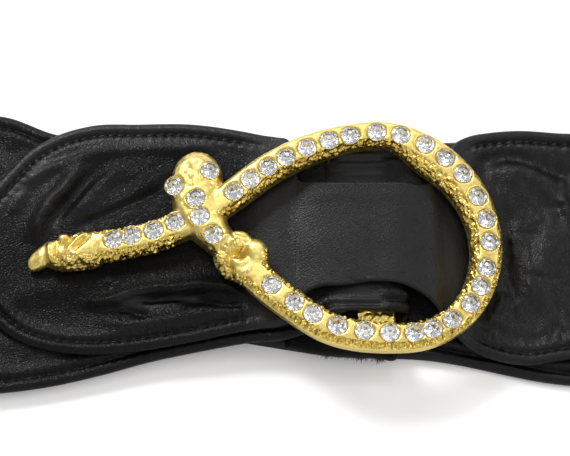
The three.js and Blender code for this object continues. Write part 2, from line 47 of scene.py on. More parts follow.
CAMERA_TILT = 70
PICTURE_WIDTH = 136.8
AIM = np.array([0, 4.006, 8])


def linear(hex_colour):
    """An sRGB hex colour as linear light."""
    parts = [int(hex_colour[k : k + 2], 16) / 255 for k in (1, 3, 5)]
    return (*[c / 12.92 if c <= 0.04045 else ((c + 0.055) / 1.055) ** 2.4 for c in parts], 1)


def start_material(name):
    """A new material and its shader."""
    material = bpy.data.materials.new(name)
    material.use_nodes = True
    return material, material.node_tree.nodes["Principled BSDF"]


def mesh_piece(name, points, faces, materials, smooth=True):
    """A mesh object from points in millimetres."""
    mesh = bpy.data.meshes.new(name)
    mesh.from_pydata((np.asarray(points, float) * MM).tolist(), [], faces)
    mesh.validate()
    for material in materials:
        mesh.materials.append(material)
    if smooth:
        mesh.shade_smooth()
    else:
        mesh.shade_flat()
    made = bpy.data.objects.new(name, mesh)
    bpy.context.collection.objects.link(made)
    return made


# White board with a matt coat: it is bright all over and shows no mirror image.
board, board_shader = start_material("white_studio_board_matt")
board_shader.inputs["Base Color"].default_value = linear("#fbfbfb")
board_shader.inputs["Roughness"].default_value = 0.9
half_table = TABLE_WIDTH / 2
table = mesh_piece(
    "table",
    [(x * half_table, y * half_table, -TABLE_DROP) for x, y in ((-1, -1), (1, -1), (1, 1), (-1, 1))],
    [(0, 1, 2, 3)],
    [board],
)

# Where each lamp stands, how wide and long its cloth is, and how strongly the cloth glows.
SOFT_BOXES = [
    {"name": "over_front", "x": 0, "y": -260, "z": 700, "wide": 480, "long": 260, "glow": 1.6},
    {"name": "left", "x": -290, "y": 480, "z": 460, "wide": 200, "long": 190, "glow": 32},
    {"name": "over_back", "x": 55, "y": 260, "z": 700, "wide": 210, "long": 200, "glow": 3},
    {"name": "right", "x": 560, "y": 40, "z": 420, "wide": 240, "long": 340, "glow": 4},
    {"name": "front", "x": 0, "y": -560, "z": 250, "wide": 420, "long": 90, "glow": 2.7},
    {"name": "back", "x": 200, "y": 560, "z": 420, "wide": 420, "long": 130, "glow": 6},
]
for box in SOFT_BOXES:
    lamp = bpy.data.lights.new("soft_box_" + box["name"], "AREA")
    lamp.shape = "RECTANGLE"
    lamp.size = box["wide"] * MM
    lamp.size_y = box["long"] * MM
    lamp.energy = box["glow"] * math.pi * lamp.size * lamp.size_y
    stand = bpy.data.objects.new(lamp.name, lamp)
    stand.location = Vector((box["x"], box["y"], box["z"])) * MM
    stand.rotation_euler = (Vector((0, 0, 0)) - stand.location).to_track_quat("-Z", "Y").to_euler()
    bpy.context.collection.objects.link(stand)

ROOM_GLOW = 0.64
room = bpy.data.worlds.new("pale_room")
room.use_nodes = True
room_walls = room.node_tree.nodes["Background"]
room_walls.inputs["Color"].default_value = linear("#eeedea")
room_walls.inputs["Strength"].default_value = ROOM_GLOW
bpy.context.scene.world = room
bpy.context.scene.view_settings.view_transform = "Standard"

FILM_WIDTH = 36
camera = bpy.data.objects.new("camera", bpy.data.cameras.new("camera"))
tilt = math.radians(CAMERA_TILT)
back = Vector((0, -math.cos(tilt), math.sin(tilt)))
camera.location = (Vector(AIM) + back * CAMERA_REACH) * MM
camera.rotation_euler = (-back).to_track_quat("-Z", "Y").to_euler()
camera.data.sensor_width = FILM_WIDTH
camera.data.lens = FILM_WIDTH / PICTURE_WIDTH * CAMERA_REACH
camera.data.clip_start = 0.01
bpy.context.collection.objects.link(camera)
bpy.context.scene.camera = camera

# The buckle: one zinc casting with a thick polished gold plate. The model for it was built up from a
# swept limb with grained flanks, a domed knot, a blossom, and a bud on the stem's end.
RING_LENGTH = 60
RING_WIDTH = 50.3
RING_X = 18
RING_Y = 0.556
LIMB_WIDTH = 7.6
LIMB_HEIGHT = 5.5
STEM_WIDTH = 7.4
STEM_HEIGHT = 5.2
KNOT_WIDTH = 12.6
KNOT_HEIGHT = 6.2
BUD_WIDTH = 10
BUD_LENGTH = 13
BLOSSOM_WIDTH = 12.6
FRAME_LOW = 10.4
FRAME_TOP_X = 10.8
RIGHT_RADIUS = 220
LEFT_RADIUS = 550
BAR_WIDTH = 9
BAR_THICKNESS = 2.4
BAR_LOW = 5
BAR_X = 21.6
POST_LENGTH = 2.6
POST_HEIGHT = 6.6
CAST_GRID = 0.315
BAR_GRID = 0.4
SOFTENING = 3
# The limbs' middle lines. A row is a place in shares of the ring's length and width from its centre,
# then the limb's width and its outward shift there, in shares of its usual width.
RING_LINE = [
    (-0.62, 0.1, 0.9, 0),
    (-0.5, 0.2, 0.97, 0.05),
    (-0.362, 0.326, 0.98, 0.05),
    (-0.205, 0.423, 0.96, 0.05),
    (-0.04, 0.484, 0.86, 0.05),
    (0.115, 0.5, 0.84, 0.04),
    (0.258, 0.442, 1.22, -0.13),
    (0.403, 0.297, 1.18, -0.12),
    (0.488, 0.069, 1.04, -0.05),
    (0.483, -0.16, 0.95, 0),
    (0.407, -0.357, 0.9, 0),
    (0.257, -0.482, 0.88, 0),
    (0.093, -0.5, 0.93, 0.03),
    (-0.107, -0.464, 0.95, 0.03),
    (-0.272, -0.343, 0.97, 0.03),
    (-0.36, -0.257, 1, 0.03),
    (-0.457, -0.14, 1, 0.03),
]
KNOT_LINE = [
    (-0.65, 0.37, 0.4, 0),
    (-0.652, 0.345, 0.76, 0),
    (-0.652, 0.28, 0.98, 0),
    (-0.65, 0.2, 0.97, 0),
    (-0.641, 0.136, 0.97, 0),
    (-0.613, 0.07, 0.84, 0),
    (-0.562, -0.015, 0.62, 0),
    (-0.48, -0.1, 0.54, 0),
]
STEM_LINE = [
    (-0.6, 0.12, 1, 0),
    (-0.72, 0.052, 1, 0),
    (-0.815, 0.006, 1, 0),
    (-0.905, -0.018, 1, 0),
    (-0.98, -0.035, 1, 0),
    (-1.06, -0.04, 1, 0),
]


def through(rows, places, wanted):
    """Values between the rows of a table, on one smooth curve through them."""
    rows, places = np.asarray(rows, float), np.asarray(places, float)
    steps = np.diff(places)
    slopes = np.diff(rows, axis=0) / steps[:, None]
    before, after = steps[:-1, None], steps[1:, None]
    inner = (before * slopes[1:] + after * slopes[:-1]) / (before + after)
    tangents = np.vstack([slopes[:1], inner, slopes[-1:]])
    k = np.clip(np.searchsorted(places, wanted, side="right") - 1, 0, len(steps) - 1)
    step = steps[k][:, None]
    u = ((wanted - places[k])[:, None] / step).clip(0, 1)
    start = (1 + 2 * u) * (1 - u) ** 2 * rows[k] + u**2 * (3 - 2 * u) * rows[k + 1]
    return start + step * (u * (1 - u) ** 2 * tangents[k] - u**2 * (1 - u) * tangents[k + 1])


def fine_line(rows, width, spacing=0.6):
    """A limb's line at even steps: x, y, half width there and outward shift, in millimetres."""
    table = np.array(rows, float)
    table[:, 0] = RING_X + table[:, 0] * RING_LENGTH
    table[:, 1] = RING_Y + table[:, 1] * RING_WIDTH
    table[:, 2] *= width / 2
    table[:, 3] *= width
    run = np.append(0, np.cumsum(np.hypot(*np.diff(table[:, :2], axis=0).T)))
    return through(table, run, np.linspace(0, run[-1], round(run[-1] / spacing)))


# One half of the ring's and the stem's section, from the foot up, in shares of half width and height.
LIMB_SECTION = [(0.9, 0), (1, 0.08), (1, 0.6), (0.68, 1), (0.3, 1.03)]
LIMB_SECTION_POINTS = 39


def limb_section():
    """The whole section: upright walls, grained slopes and a flat top for the stones."""
    right = np.array(LIMB_SECTION)
    left = right[::-1] * (-1, 1)
    closed = np.vstack([right, left, right[:1]])
    run = np.append(0, np.cumsum(np.hypot(*np.diff(closed, axis=0).T)))
    places = np.linspace(0, run[-1], LIMB_SECTION_POINTS + 1)[:-1]
    return np.c_[np.interp(places, run, closed[:, 0]), np.interp(places, run, closed[:, 1])]


def round_section(count, squareness):
    """The same for a domed limb, with a flat foot."""
    angle = np.linspace(0, math.pi, count)
    power = 2 / squareness
    out = np.sign(np.cos(angle)) * np.abs(np.cos(angle)) ** power
    up = np.sin(angle) ** power
    foot = np.linspace(-1, 1, count // 2)[1:-1]
    return np.vstack([np.c_[out, up], np.c_[foot, np.zeros(len(foot))]])


def skin(sections):
    """Points and faces of a closed body through sections."""
    rows, count = len(sections), len(sections[0])
    points = np.concatenate(sections)
    faces = []
    for row in range(rows - 1):
        for k in range(count):
            after = (k + 1) % count
            low, high = row * count, (row + 1) * count
            faces.append((low + k, low + after, high + after, high + k))
    faces.append(tuple(range(count))[::-1])
    faces.append(tuple((rows - 1) * count + k for k in range(count)))
    return points, faces


def inner_flat(half_width):
    """Where a limb is wider than usual, its flat top keeps its place and its inner slope is broad."""
    return 1 - 1.3 * np.maximum(half_width / (LIMB_WIDTH / 2) - 1, 0)


def limb(line, height, shape):
    """A limb's points and faces: its section swept along its line."""
    along = np.gradient(line[:, :2], axis=0)
    along /= np.hypot(*along.T)[:, None]
    out = np.c_[-along[:, 1], along[:, 0]]
    sections = []
    for centre, side in zip(line, out):
        at_inner_top = (shape[:, :1] < 0) & (shape[:, 1:] > 0.95)
        reach = shape[:, :1] * np.where(at_inner_top, inner_flat(centre[2]), 1) * centre[2] + centre[3]
        sections.append(np.c_[centre[:2] + side * reach, shape[:, 1] * height])
    return skin(sections)


def ball(x, y, z, long, wide, high, turn=0, around=20):
    """An ellipsoid's points and faces."""
    rows = []
    angle = np.linspace(0, 2 * math.pi, around, endpoint=False)
    for rise in np.linspace(-math.pi / 2, math.pi / 2, around // 2 + 1)[1:-1]:
        level = np.full(around, math.sin(rise))
        rows.append(np.c_[np.cos(angle) * math.cos(rise), np.sin(angle) * math.cos(rise), level])
    points, faces = skin(rows)
    points = points * (long / 2, wide / 2, high)
    c, s = math.cos(math.radians(turn)), math.sin(math.radians(turn))
    turned = np.c_[points[:, 0] * c - points[:, 1] * s, points[:, 0] * s + points[:, 1] * c, points[:, 2]]
    return turned + (x, y, z), faces


def block(x, y, z, long, wide, high):
    """A box's points and faces, from the middle of its foot."""
    corners = np.array([(a, b, c) for a in (-1, 1) for b in (-1, 1) for c in (0, 1)], float)
    points = corners * (long / 2, wide / 2, high) + (x, y, z)
    faces = [(0, 1, 3, 2), (4, 6, 7, 5), (0, 4, 5, 1), (2, 3, 7, 6), (0, 2, 6, 4), (1, 5, 7, 3)]
    return points, faces


def arch_height(x):
    """The underside of the frame, which is bent to the waist round its highest place."""
    radius = np.where(x > FRAME_TOP_X, RIGHT_RADIUS, LEFT_RADIUS)
    return FRAME_LOW - (x - FRAME_TOP_X) ** 2 / (2 * radius)


def arch_tilt(x):
    return (x - FRAME_TOP_X) / np.where(x > FRAME_TOP_X, RIGHT_RADIUS, LEFT_RADIUS)


def bend_to_waist(points):
    """Takes points of the flat pattern to the bent frame."""
    x, y, up = points.T
    tilt_there = arch_tilt(x)
    return np.c_[x + up * np.sin(tilt_there), y, arch_height(x) + up * np.cos(tilt_there)]


def unbend(points):
    """The flat place of a point of the bent frame."""
    x, y, z = np.asarray(points, float).T
    flat_x = x.copy()
    for _ in range(6):
        up = (z - arch_height(flat_x)) / np.cos(arch_tilt(flat_x))
        flat_x = x - up * np.sin(arch_tilt(flat_x))
    return np.c_[flat_x, y, up]


ring_line = fine_line(RING_LINE, LIMB_WIDTH)
knot_line = fine_line(KNOT_LINE, KNOT_WIDTH)
stem_line = fine_line(STEM_LINE, STEM_WIDTH)
stem_end = stem_line[-1]
bud_x = stem_end[0] + BUD_LENGTH * 0.15

# The bud and its leaf tip: the place along the bud's length, then its width, height and sideways
# shift, in shares of the bud's width and the stem's height. The tip is cut short of the last row.
BUD_TIP = 1.36
BUD_SECTIONS = [
    (0, 0.72, 1, -0.05),
    (0.12, 0.88, 1.02, -0.04),
    (0.35, 0.92, 1.08, -0.06),
    (0.7, 0.8, 0.98, -0.13),
    (0.94, 0.64, 0.86, -0.12),
    (0.985, 0.64, 0.6, -0.08),
    (1.1, 0.6, 0.54, -0.16),
    (1.22, 0.52, 0.46, -0.24),
    (1.33, 0.36, 0.4, -0.32),
    (1.375, 0.14, 0.34, -0.36),
]
bud_rows = np.array(BUD_SECTIONS)
bud_fine = through(bud_rows, bud_rows[:, 0], np.linspace(0, BUD_TIP, 26))
bud_shape = round_section(22, 2.6)
bud_sections = [
    np.c_[
        np.full(len(bud_shape), bud_x - along * BUD_LENGTH),
        stem_end[1] + side * BUD_WIDTH - bud_shape[:, 0] * wide * BUD_WIDTH / 2,
        bud_shape[:, 1] * high * STEM_HEIGHT,
    ]
    for along, wide, high, side in bud_fine
]
# Beads on the bud, and the blossom's seed ball and petals: place, size and turn in degrees.
BEADS = [
    (-52.1, -0.1, 4.2, 3.4, 3.0, 2.0, 0),
    (-50.6, -5.0, 4.0, 3.4, 3.2, 1.9, 40),
    (-14.7, -5.8, 4.2, 3.8, 3.8, 2.1, 0),
    (-10.4, -0.9, 4.2, 5.6, 3.6, 2.1, -14),
    (-6.7, -4.5, 3.8, 6.0, 7.4, 2.6, 20),
    (-9.6, -8.9, 3.6, 6.8, 5.6, 2.3, -35),
    (-14.2, -2.4, 4.0, 5.8, 4.8, 2.2, 35),
]
# Ribbons, petal edges and grooves cut in the wax: height, width on each side, and the line.
CAST_LINES = [
    (1.0, 0.55, 0.5, [(-45.6, 2.6), (-48, 0.2), (-51.6, -4.2), (-53.2, -6.4)]),
    (-0.7, 0.5, 0.5, [(-47.4, 3.2), (-50.2, 0.4), (-53.2, -3.0)]),
    (-1.0, 0.45, 1.0, [(-45.6, 0.5), (-47.4, -1.2), (-50.0, -3.4)]),
    (-0.4, 0.35, 0.35, [(-43.4, -1.2), (-44.4, -3), (-44.2, -5)]),
    (1.2, 0.7, 0.7, [(-51.0, -3.6), (-48.4, -4.6), (-45.4, -6.8)]),
    (-0.4, 0.7, 0.7, [(-48.8, -5.4), (-46.4, -7.4)]),
    (1.1, 0.6, 0.9, [(-55.7, 0.6), (-55.8, -3.2), (-54.7, -7)]),
    (-0.6, 0.4, 0.4, [(-53.4, 0.8), (-53.8, -2.4), (-53.6, -6)]),
    (-0.5, 0.4, 0.4, [(-56.5, 0.4), (-56.5, -3.4), (-55.5, -7.2)]),
    (0.3, 0.5, 0.8, [(-57, -2.6), (-59, -4.4), (-60.8, -6.2)]),
    (0.9, 0.9, 0.9, [(-16.6, -4.6), (-15.2, -2.0), (-13.2, -0.8), (-11.2, -1.2)]),
    (0.7, 0.7, 0.6, [(-13.2, -5.4), (-13.2, -3), (-11.4, -1.7), (-9.2, -2.2)]),
    (-2.4, 1.7, 1.7, [(-11.4, -3.8), (-11.0, -5.0), (-10.9, -6.4)]),
    (1.6, 1.0, 1.0, [(-11.7, -3.3), (-11.1, -3.1)]),
    (0.5, 0.6, 0.6, [(-12.2, -7.4), (-10.4, -7.4), (-8.4, -7.2)]),
    (0.5, 0.4, 0.5, [(-7.8, -8), (-8.8, -9.4), (-9.6, -11)]),
    (-0.7, 0.6, 0.6, [(-12.6, -4.4), (-13, -7.2), (-12.4, -9.4)]),
    (-0.6, 0.5, 0.5, [(-12.8, 0.8), (-11.4, -1), (-8.6, -1.2)]),
    (-0.5, 0.7, 0.7, [(-28.4, 5.4), (-27.2, 3.8), (-25.8, 1.4)]),
]
KNOT_PLACE = (-0.652, 0.3)
BLOSSOM_PLACE = (-0.475, -0.107)
knot_x = RING_X + KNOT_PLACE[0] * RING_LENGTH
knot_y = RING_Y + KNOT_PLACE[1] * RING_WIDTH
blossom_x = RING_X + BLOSSOM_PLACE[0] * RING_LENGTH
blossom_y = RING_Y + BLOSSOM_PLACE[1] * RING_WIDTH
knot_dome = (KNOT_WIDTH, KNOT_WIDTH * 1.22, KNOT_HEIGHT * 1.02)
blossom_dome = (BLOSSOM_WIDTH * 1.04, BLOSSOM_WIDTH * 0.92, KNOT_HEIGHT * 0.76)
bodies = [
    limb(ring_line, LIMB_HEIGHT, limb_section()),
    limb(knot_line, KNOT_HEIGHT * 1.04, round_section(22, 2.8)),
    limb(stem_line, STEM_HEIGHT, limb_section()),
    skin(bud_sections),
    ball(knot_x, knot_y - KNOT_WIDTH * 0.05, 0, *knot_dome, around=32),
    ball(blossom_x - 0.4, blossom_y, 1.0, *blossom_dome, turn=-35, around=28),
]
bodies += [ball(*bead) for bead in BEADS]


def joined(bodies):
    """Several bodies' points and faces as one."""
    points, faces, count = [], [], 0
    for body_points, body_faces in bodies:
        points.append(body_points)
        faces += [tuple(count + k for k in face) for face in body_faces]
        count += len(body_points)
    return np.concatenate(points), faces


def cast_in_one(points, faces, grid):
    """Fuses overlapping bodies into one skin of even squares, and rounds its corners a little."""
    rough = mesh_piece("pattern", points / MM, faces, [])
    fuse = rough.modifiers.new("fuse", "REMESH")
    fuse.mode = "VOXEL"
    fuse.voxel_size = grid
    soften = rough.modifiers.new("soften", "SMOOTH")
    soften.factor = 0.5
    soften.iterations = SOFTENING
    cast = rough.evaluated_get(bpy.context.evaluated_depsgraph_get()).to_mesh()
    found = np.zeros(len(cast.vertices) * 3)
    cast.vertices.foreach_get("co", found)
    normals = np.zeros(len(cast.vertices) * 3)
    cast.vertex_normals.foreach_get("vector", normals)
    cast_faces = [tuple(face.vertices) for face in cast.polygons]
    bpy.data.objects.remove(rough)
    return found.reshape(-1, 3), normals.reshape(-1, 3), cast_faces


def blend_step(low, high, value):
    """0 below the low value, 1 above the high one, and a soft step between them."""
    share = np.clip((value - low) / (high - low), 0, 1)
    return share * share * (3 - 2 * share)


def line_distance(x, y, line):
    """Each point's distance from a line, how far along the line it lies, and on which side."""
    steps = np.diff(line, axis=0)
    sizes = np.maximum((steps**2).sum(axis=1), 1e-9)
    run = np.append(0, np.cumsum(np.sqrt(sizes)))[:-1]
    best = np.full(x.shape, 1e9)
    place, side = np.zeros(x.shape), np.zeros(x.shape)
    for start, step, size, so_far in zip(line[:-1], steps, sizes, run):
        share = np.clip(((x - start[0]) * step[0] + (y - start[1]) * step[1]) / size, 0, 1)
        off_x, off_y = x - start[0] - share * step[0], y - start[1] - share * step[1]
        gap = np.hypot(off_x, off_y)
        closer = gap < best
        best[closer] = gap[closer]
        place[closer] = (so_far + share * math.sqrt(size))[closer]
        side[closer] = (step[0] * off_y - step[1] * off_x)[closer]
    return best, place, side


def folds_at(x, y, rows):
    """Height of folds along drawn crests, which are round in section and fade at their ends."""
    total = np.zeros_like(x)
    for high, left_width, right_width, crest in rows:
        corners = np.array(crest, float)
        run = np.append(0, np.cumsum(np.hypot(*np.diff(corners, axis=0).T)))
        line = through(corners, run, np.linspace(0, run[-1], max(4, round(run[-1] / 1.5))))
        gap, place, side = line_distance(x, y, line)
        width = np.where(side > 0, left_width, right_width)
        fade = min(2 + left_width + right_width, run[-1] / 2.6)
        ends = blend_step(-0.2 * fade, fade, place) * blend_step(-0.2 * fade, fade, run[-1] - place)
        total += high * np.exp(-((gap / width) ** 2)) * ends
    return total


COARSE_GRAIN = 1.1
FINE_GRAIN = 0.7
BAR_GRAIN = 1.2
GRAIN_HEIGHT = 1.15
GRAIN_GROUND = 0.68
SPOT_CELLS = 24
grain_dice = np.random.default_rng(11)
GRAIN_SPOTS = grain_dice.uniform(0, 1, (SPOT_CELLS, SPOT_CELLS, SPOT_CELLS, 3))


def nuggets(points, size):
    """Depth of crumpled facets, packed like ore: each is a little plane with its own tilt."""
    scaled = points / size
    cell = np.floor(scaled).astype(int)
    nearest = np.full(len(points), 9.0)
    second = np.full(len(points), 9.0)
    height = np.zeros(len(points))
    for dx in (-1, 0, 1):
        for dy in (-1, 0, 1):
            for dz in (-1, 0, 1):
                there = cell + (dx, dy, dz)
                draw = GRAIN_SPOTS[tuple(there.T % SPOT_CELLS)]
                offset = scaled - there - draw
                gap = np.linalg.norm(offset, axis=1)
                closer = gap < nearest
                second = np.where(closer, nearest, np.minimum(second, gap))
                tilt_way = draw[:, [1, 2, 0]] * 2 - 1
                height = np.where(closer, (offset * tilt_way).sum(axis=1) * 1.1 + draw[:, 0] * 0.3, height)
                nearest = np.minimum(nearest, gap)
    groove = 1 - np.clip((second - nearest) / 0.3, 0, 1)
    return np.clip(0.5 + 0.8 * height - 0.55 * groove, 0, 1)


cast_points, cast_normals, cast_faces = cast_in_one(*joined(bodies), CAST_GRID)
cast_points[:, 2] = np.maximum(cast_points[:, 2], 0)
cast_x, cast_y, cast_z = cast_points.T.copy()


def nearest_on(line, points):
    """For each point, the nearest place on a line: row number, and distance across it with its sign."""
    best = np.full(len(points), 1e9)
    row = np.zeros(len(points), int)
    for k, centre in enumerate(line[:, :2]):
        gap = np.hypot(*(points[:, :2] - centre).T)
        closer = gap < best
        best[closer] = gap[closer]
        row[closer] = k
    along = np.gradient(line[:, :2], axis=0)
    along /= np.hypot(*along.T)[:, None]
    offset = points[:, :2] - line[row, :2]
    across = offset[:, 1] * along[row, 0] - offset[:, 0] * along[row, 1]
    return row, across, best


ring_row, ring_across, ring_gap = nearest_on(ring_line, cast_points)
stem_row, stem_across, stem_gap = nearest_on(stem_line, cast_points)
_, _, knot_gap = nearest_on(knot_line, cast_points)
ring_share = (ring_across - ring_line[ring_row, 3]) / ring_line[ring_row, 2]
stem_share = stem_across / stem_line[stem_row, 2]
height_share = cast_z / LIMB_HEIGHT
on_stem = (stem_gap < ring_gap) & (stem_gap < knot_gap)
on_knot = (knot_gap < ring_gap + 1) & ~on_stem

# How strongly each place is grained. The ring has grains on its slopes and low on its inner side,
# fewer at the back, and the stem has them right down to its foot.
upper = blend_step(0.6, 0.66, height_share)
inner_low = 0.7 * blend_step(0.15, 0.35, height_share) * (ring_share < 0)
far_side = (ring_share > 0) * blend_step(-4, 8, cast_y) * 0.75
flat_end = np.where(ring_share < 0, inner_flat(ring_line[ring_row, 2]), 1)
ring_slope = blend_step(0.6, 0.68, np.abs(ring_share) / flat_end)
ring_flank = ring_slope * np.maximum(upper * (1 - far_side), inner_low)
stem_wall = blend_step(0.02, 0.15, height_share)
stem_flank = blend_step(0.55, 0.68, np.abs(stem_share)) * np.maximum(upper, stem_wall)
grained = np.where(on_stem, stem_flank, np.where(on_knot, 0.1, ring_flank))

# The blossom, the stem's root, the bud and the leaf tip are smoother, apart from the seed ball and
# the blossom's lower edge.
blossom_gap = np.hypot(cast_x - blossom_x, cast_y - blossom_y)
grained *= blend_step(BLOSSOM_WIDTH * 0.42, BLOSSOM_WIDTH * 0.54, blossom_gap)
grained *= np.where(cast_x < stem_end[0] + 1, 0.55, 1)
grained *= np.where(on_stem, blend_step(KNOT_WIDTH * 0.5, KNOT_WIDTH * 0.5 + 1.6, knot_gap), 1)
SEED_BALL = (-14.7, -4.9)
on_ball = np.hypot(cast_x - SEED_BALL[0], cast_y - SEED_BALL[1]) < 2.0
grained = np.maximum(grained, 0.42 * on_ball * (cast_z > 4))
petal_side = (cast_x - blossom_x) + (cast_y - blossom_y)
under_petals = blend_step(4.6, 5.6, -petal_side) * (blossom_gap < BLOSSOM_WIDTH * 0.6)
grained = np.maximum(grained, 0.5 * under_petals * stem_wall)
LEAF_TIP_FROM = 54
grained *= 1 - 0.8 * blend_step(LEAF_TIP_FROM, LEAF_TIP_FROM + 1, -cast_x)

# The knot has rows of faint scales instead.
SCALE_LENGTH = 1.9
SCALE_WIDTH = 2.3
SCALE_HEIGHT = 0.08
scale_rows = cast_x / SCALE_LENGTH
scale_places = cast_y / SCALE_WIDTH + 0.5 * np.floor(scale_rows)
scales = np.abs(np.sin(math.pi * scale_rows)) * np.abs(np.sin(math.pi * scale_places))
smooth_knot = on_knot & (cast_y > blossom_y + BLOSSOM_WIDTH * 0.5)

grain = nuggets(cast_points, COARSE_GRAIN) * 0.75 + nuggets(cast_points + 40, FINE_GRAIN) * 0.25
front_wall = 1 + 0.8 * (1 - blend_step(-10, 0, cast_y)) * (ring_share > 0)
front_wall = np.where(on_stem & (stem_share > 0.7), 1.2, front_wall)
relief = grained * (grain - GRAIN_GROUND) * GRAIN_HEIGHT * front_wall + smooth_knot * SCALE_HEIGHT * scales
cast_points = cast_points + cast_normals * relief[:, None]
facing_up = blend_step(0.1, 0.6, cast_normals[:, 2]) * blend_step(2, 3.2, cast_points[:, 2])
cast_points[:, 2] += facing_up * folds_at(cast_points[:, 0], cast_points[:, 1], CAST_LINES)

# Where the CAD stones sit, so that the seats are cut round them.
STONE_NAMES = [name for name in sorted(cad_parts) if name.startswith("stone_")]
STONE_RADIUS = 2.18
STONE_CROWN = 0.85
STONE_GIRDLE = 0.25


def stone_place(name):
    """A CAD stone's middle of the girdle's top and the way its table faces, in millimetres."""
    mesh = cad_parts[name].data
    axis = Vector((0, 0, 0))
    for face in mesh.polygons:
        if face.normal.z > 0.4:
            axis += face.normal * face.area
    axis = np.array(axis.normalized())
    points = np.unique(np.round([np.array(v.co) / MM for v in mesh.vertices], 3), axis=0)
    middle = points.mean(axis=0)
    return middle + axis * ((points @ axis).max() - middle @ axis - STONE_CROWN), axis


stone_places = [stone_place(name) for name in STONE_NAMES]

# The seats are bored with a cone-ended cutter, which leaves a low flat collar round each.
SEAT_RADIUS = STONE_RADIUS + 0.16
SEAT_DEPTH = 2.5
SEAT_RIM_DEPTH = 0.6
SEAT_REACH = 2.6
COLLAR_WIDTH = 0.6
COLLAR_HEIGHT = 0.08
for middle, axis in stone_places:
    flat_middle = unbend([middle])[0]
    tip = unbend([middle + axis])[0] - flat_middle
    tip /= np.linalg.norm(tip)
    offset = cast_points - flat_middle
    up = offset @ tip
    radius = np.linalg.norm(offset - up[:, None] * tip, axis=1)
    near = (radius < SEAT_RADIUS + COLLAR_WIDTH) & (up > -SEAT_REACH)
    seat = -SEAT_DEPTH + (SEAT_DEPTH - SEAT_RIM_DEPTH) * np.clip(radius / SEAT_RADIUS, 0, 1)
    inside = near & (radius < SEAT_RADIUS)
    cast_points[inside] += tip * (np.minimum(up, seat) - up)[inside, None]
    collar = near & ~inside & (np.abs(up) < 0.8)
    weight = 1 - blend_step(SEAT_RADIUS + 0.1, SEAT_RADIUS + COLLAR_WIDTH, radius)
    cast_points[collar] += tip * ((COLLAR_HEIGHT - up) * weight)[collar, None]

cast_points = bend_to_waist(cast_points)

# Each stone's bezel, turned up from the casting's own metal: radius, and height from the girdle.
BEZEL_PROFILE = [(2.25, -0.9), (2.25, -0.06), (2.28, 0.02), (2.33, 0.02), (2.4, -0.08), (2.44, -0.9)]


def across_axis(axis):
    """Two directions square to an axis and to each other."""
    side = np.cross(axis, (0, 1, 0))
    side /= np.linalg.norm(side)
    return side, np.cross(axis, side)


bezels = []
for middle, axis in stone_places:
    side, other = across_axis(axis)
    sections = []
    for angle in np.linspace(0, 2 * math.pi, 37):
        way = math.cos(angle) * side + math.sin(angle) * other
        sections.append(np.array([middle + way * radius + axis * up for radius, up in BEZEL_PROFILE]))
    points, faces = skin(sections)
    bezels.append((points, faces[:-2]))

# The cross bar is flat and stands on a post at each end, under the ring's rim.
bar_low_y = RING_Y - RING_WIDTH / 2 + LIMB_WIDTH * 0.1
bar_high_y = RING_Y + RING_WIDTH / 2 + LIMB_WIDTH * 0.08
bar_span = bar_high_y - bar_low_y
bar_parts = [
    block(BAR_X, (bar_low_y + bar_high_y) / 2, BAR_LOW, BAR_WIDTH, bar_span, BAR_THICKNESS),
    block(BAR_X, bar_low_y + POST_LENGTH / 2, BAR_LOW, BAR_WIDTH, POST_LENGTH, POST_HEIGHT),
    block(BAR_X, bar_high_y - POST_LENGTH / 2, BAR_LOW, BAR_WIDTH, POST_LENGTH, POST_HEIGHT),
]
bar_points, bar_normals, bar_faces = cast_in_one(*joined(bar_parts), BAR_GRID)
bar_relief = 0.5 * (nuggets(bar_points, BAR_GRAIN) - 0.7)
bar_points = bar_points + bar_normals * bar_relief[:, None]
frame_points, frame_faces = joined([(cast_points, cast_faces), (bar_points, bar_faces), *bezels])


def add_node(tree, kind, links=None, **settings):
    made = tree.nodes.new(kind)
    for name, value in settings.items():
        setattr(made, name, value)
    for name, value in (links or {}).items():
        if isinstance(value, bpy.types.NodeSocket):
            tree.links.new(value, made.inputs[name])
        else:
            made.inputs[name].default_value = value
    return made


def mark(piece, name, values):
    """Stores one number at each corner of a mesh, for its material to read."""
    layer = piece.data.attributes.new(name, "FLOAT", "POINT")
    layer.data.foreach_set("value", np.asarray(values, float))


# Thick yellow plate polished over the casting: a bright satin, smoother in the grains, where its colour is
# also turned a deeper amber as painted shade. Its polishing marks are far finer than the 0.8 mm mottle
# drawn here, which is coarser so that it shows.
gold, gold_shader = start_material("gold_plate_on_cast_zinc_polished")
gold_tree = gold.node_tree
gold_place = add_node(gold_tree, "ShaderNodeTexCoord").outputs["Object"]
satin = add_node(
    gold_tree, "ShaderNodeTexNoise", {"Vector": gold_place, "Scale": 1 / (0.8 * MM), "Detail": 4}
)
gold_tone = add_node(
    gold_tree,
    "ShaderNodeMix",
    {"Factor": satin.outputs["Fac"], 6: linear("#d4ba5c"), 7: linear("#e8d48d")},
    data_type="RGBA",
)
gold_gloss = add_node(
    gold_tree,
    "ShaderNodeMapRange",
    {"Value": satin.outputs["Fac"], "From Min": 0.3, "From Max": 0.7, "To Min": 0.3, "To Max": 0.45},
)
gold_bump = add_node(
    gold_tree,
    "ShaderNodeBump",
    {"Height": satin.outputs["Fac"], "Distance": 0.07 * MM, "Strength": 0.9},
)
grain_polish_and_shade = add_node(gold_tree, "ShaderNodeAttribute", attribute_name="grain_polish_and_shade")
grain_painted_shade = add_node(
    gold_tree,
    "ShaderNodeMath",
    {0: grain_polish_and_shade.outputs["Fac"], 1: 0.42},
    operation="MULTIPLY",
)
# Painted shade: the more grained a place is, the more its colour is mixed toward a deep amber.
gold_with_grain_shade = add_node(
    gold_tree,
    "ShaderNodeMix",
    {"Factor": grain_painted_shade.outputs["Value"], 6: gold_tone.outputs[2], 7: linear("#d7b340")},
    data_type="RGBA",
)
gold_tree.links.new(gold_with_grain_shade.outputs[2], gold_shader.inputs["Base Color"])
